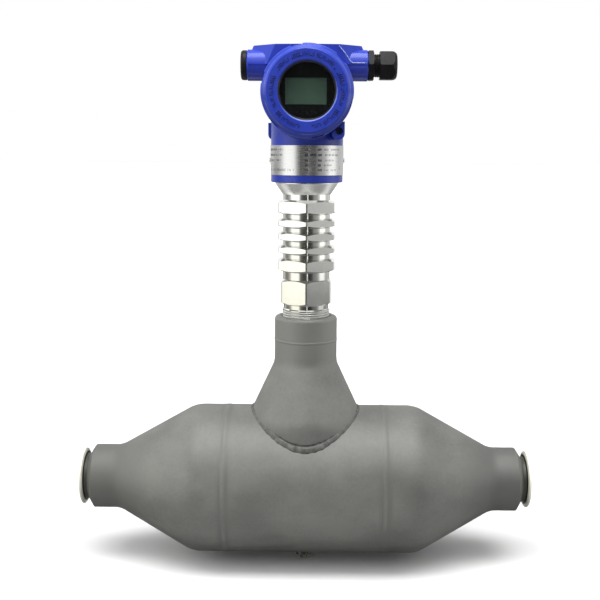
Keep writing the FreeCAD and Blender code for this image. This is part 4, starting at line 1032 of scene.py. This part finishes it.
def wall(name, table, rise):
    """Upright wall round the object. table gives its brightness at bearings from the front, in degrees, and
    rise what that is multiplied by at each height; x = r sin(bearing), y = -r cos(bearing). Low down on the
    left it is cream."""
    bearing, brightness = np.array(table).T[:, None, :]
    height, factor = np.array(rise).T[:, :, None]
    bearing = np.radians(bearing)
    x = AXIS_X + WALL_R * np.sin(bearing) + 0 * height
    y = -WALL_R * np.cos(bearing) + 0 * height
    cream = np.clip((CREAM_TOP - height) / CREAM_DEPTH, 0, 1) * (bearing < 0)
    shades = (brightness * factor)[..., None] * (1 - cream[..., None] * CREAM_CUT)
    shaded_sheet(name, np.stack([x, y, height + 0 * bearing], -1), shades)


def level(name, half, front, back, z, brightness):
    """Level card above or on the floor."""
    x, y = np.meshgrid([AXIS_X - half, AXIS_X + half], [front, back])
    shaded_sheet(name, np.stack([x, y, 0 * x + z], -1), np.full(4, brightness))


def set_cards(stage):
    """What the metal and the paint mirror: a wall of bright and dark strips with a slit in front, a dark
    upper front, a low flag behind, cards on the floor, a grey ceiling and a bright box under it."""
    wall("studio_left", STUDIO_LEFT, LEFT_RISE)
    wall("studio_right", STUDIO_RIGHT, RIGHT_RISE)
    wall("studio_middle", STUDIO_MIDDLE, MIDDLE_RISE)
    wall("studio_upper", STUDIO_UPPER, UPPER_RISE)
    for card in LEVEL_CARDS:
        level(*card)
    level("top_box", 0.38, -0.90, 0.15, 1.7, stage.box_strength)
    x, z = np.meshgrid(AXIS_X + np.array(FLAG_X), FLAG_Z)
    shaded_sheet("flag_behind", np.stack([x, 0 * x + FLAG_Y, z], -1), np.array(FLAG_SHADES))
    edges = [[(AXIS_X - KEY_HALF, y, z), (AXIS_X + KEY_HALF, y, z)] for y, z, _ in KEY_EDGES]
    shaded_sheet("key_box", np.array(edges), np.repeat([edge[2] for edge in KEY_EDGES], 2))


# Panel and registration


class METER_PT_panel(Panel):
    """Sidebar panel with the meter's settings and pieces"""

    bl_label = "Density meter"
    bl_idname = "METER_PT_panel"
    bl_space_type = "VIEW_3D"
    bl_region_type = "UI"
    bl_category = "Meter"

    def draw(self, context):
        for group in (context.scene.meter_finish, context.scene.meter_detail, context.scene.meter_stage):
            box = self.layout.box()
            for key in group.__annotations__:
                box.prop(group, key)
        for operator in OPERATORS:
            self.layout.operator(operator.bl_idname)


OPERATORS = (METER_OT_chamber, METER_OT_welds, METER_OT_neck, METER_OT_housing, METER_OT_nameplate,
             METER_OT_display, METER_OT_conduit, METER_OT_stage)
CLASSES = (MeterFinish, MeterDetail, MeterStage) + OPERATORS + (METER_PT_panel,)


def register():
    for cls in CLASSES:
        bpy.utils.register_class(cls)
    bpy.types.Scene.meter_finish = PointerProperty(type=MeterFinish)
    bpy.types.Scene.meter_detail = PointerProperty(type=MeterDetail)
    bpy.types.Scene.meter_stage = PointerProperty(type=MeterStage)


def unregister():
    del bpy.types.Scene.meter_finish
    del bpy.types.Scene.meter_detail
    del bpy.types.Scene.meter_stage
    for cls in reversed(CLASSES):
        bpy.utils.unregister_class(cls)


def main():
    register()
    bpy.ops.meter.chamber()
    bpy.ops.meter.welds()
    bpy.ops.meter.neck()
    bpy.ops.meter.housing()
    bpy.ops.meter.nameplate()
    bpy.ops.meter.display()
    bpy.ops.meter.conduit()
    bpy.ops.meter.stage()


if __name__ == "__main__":
    main()
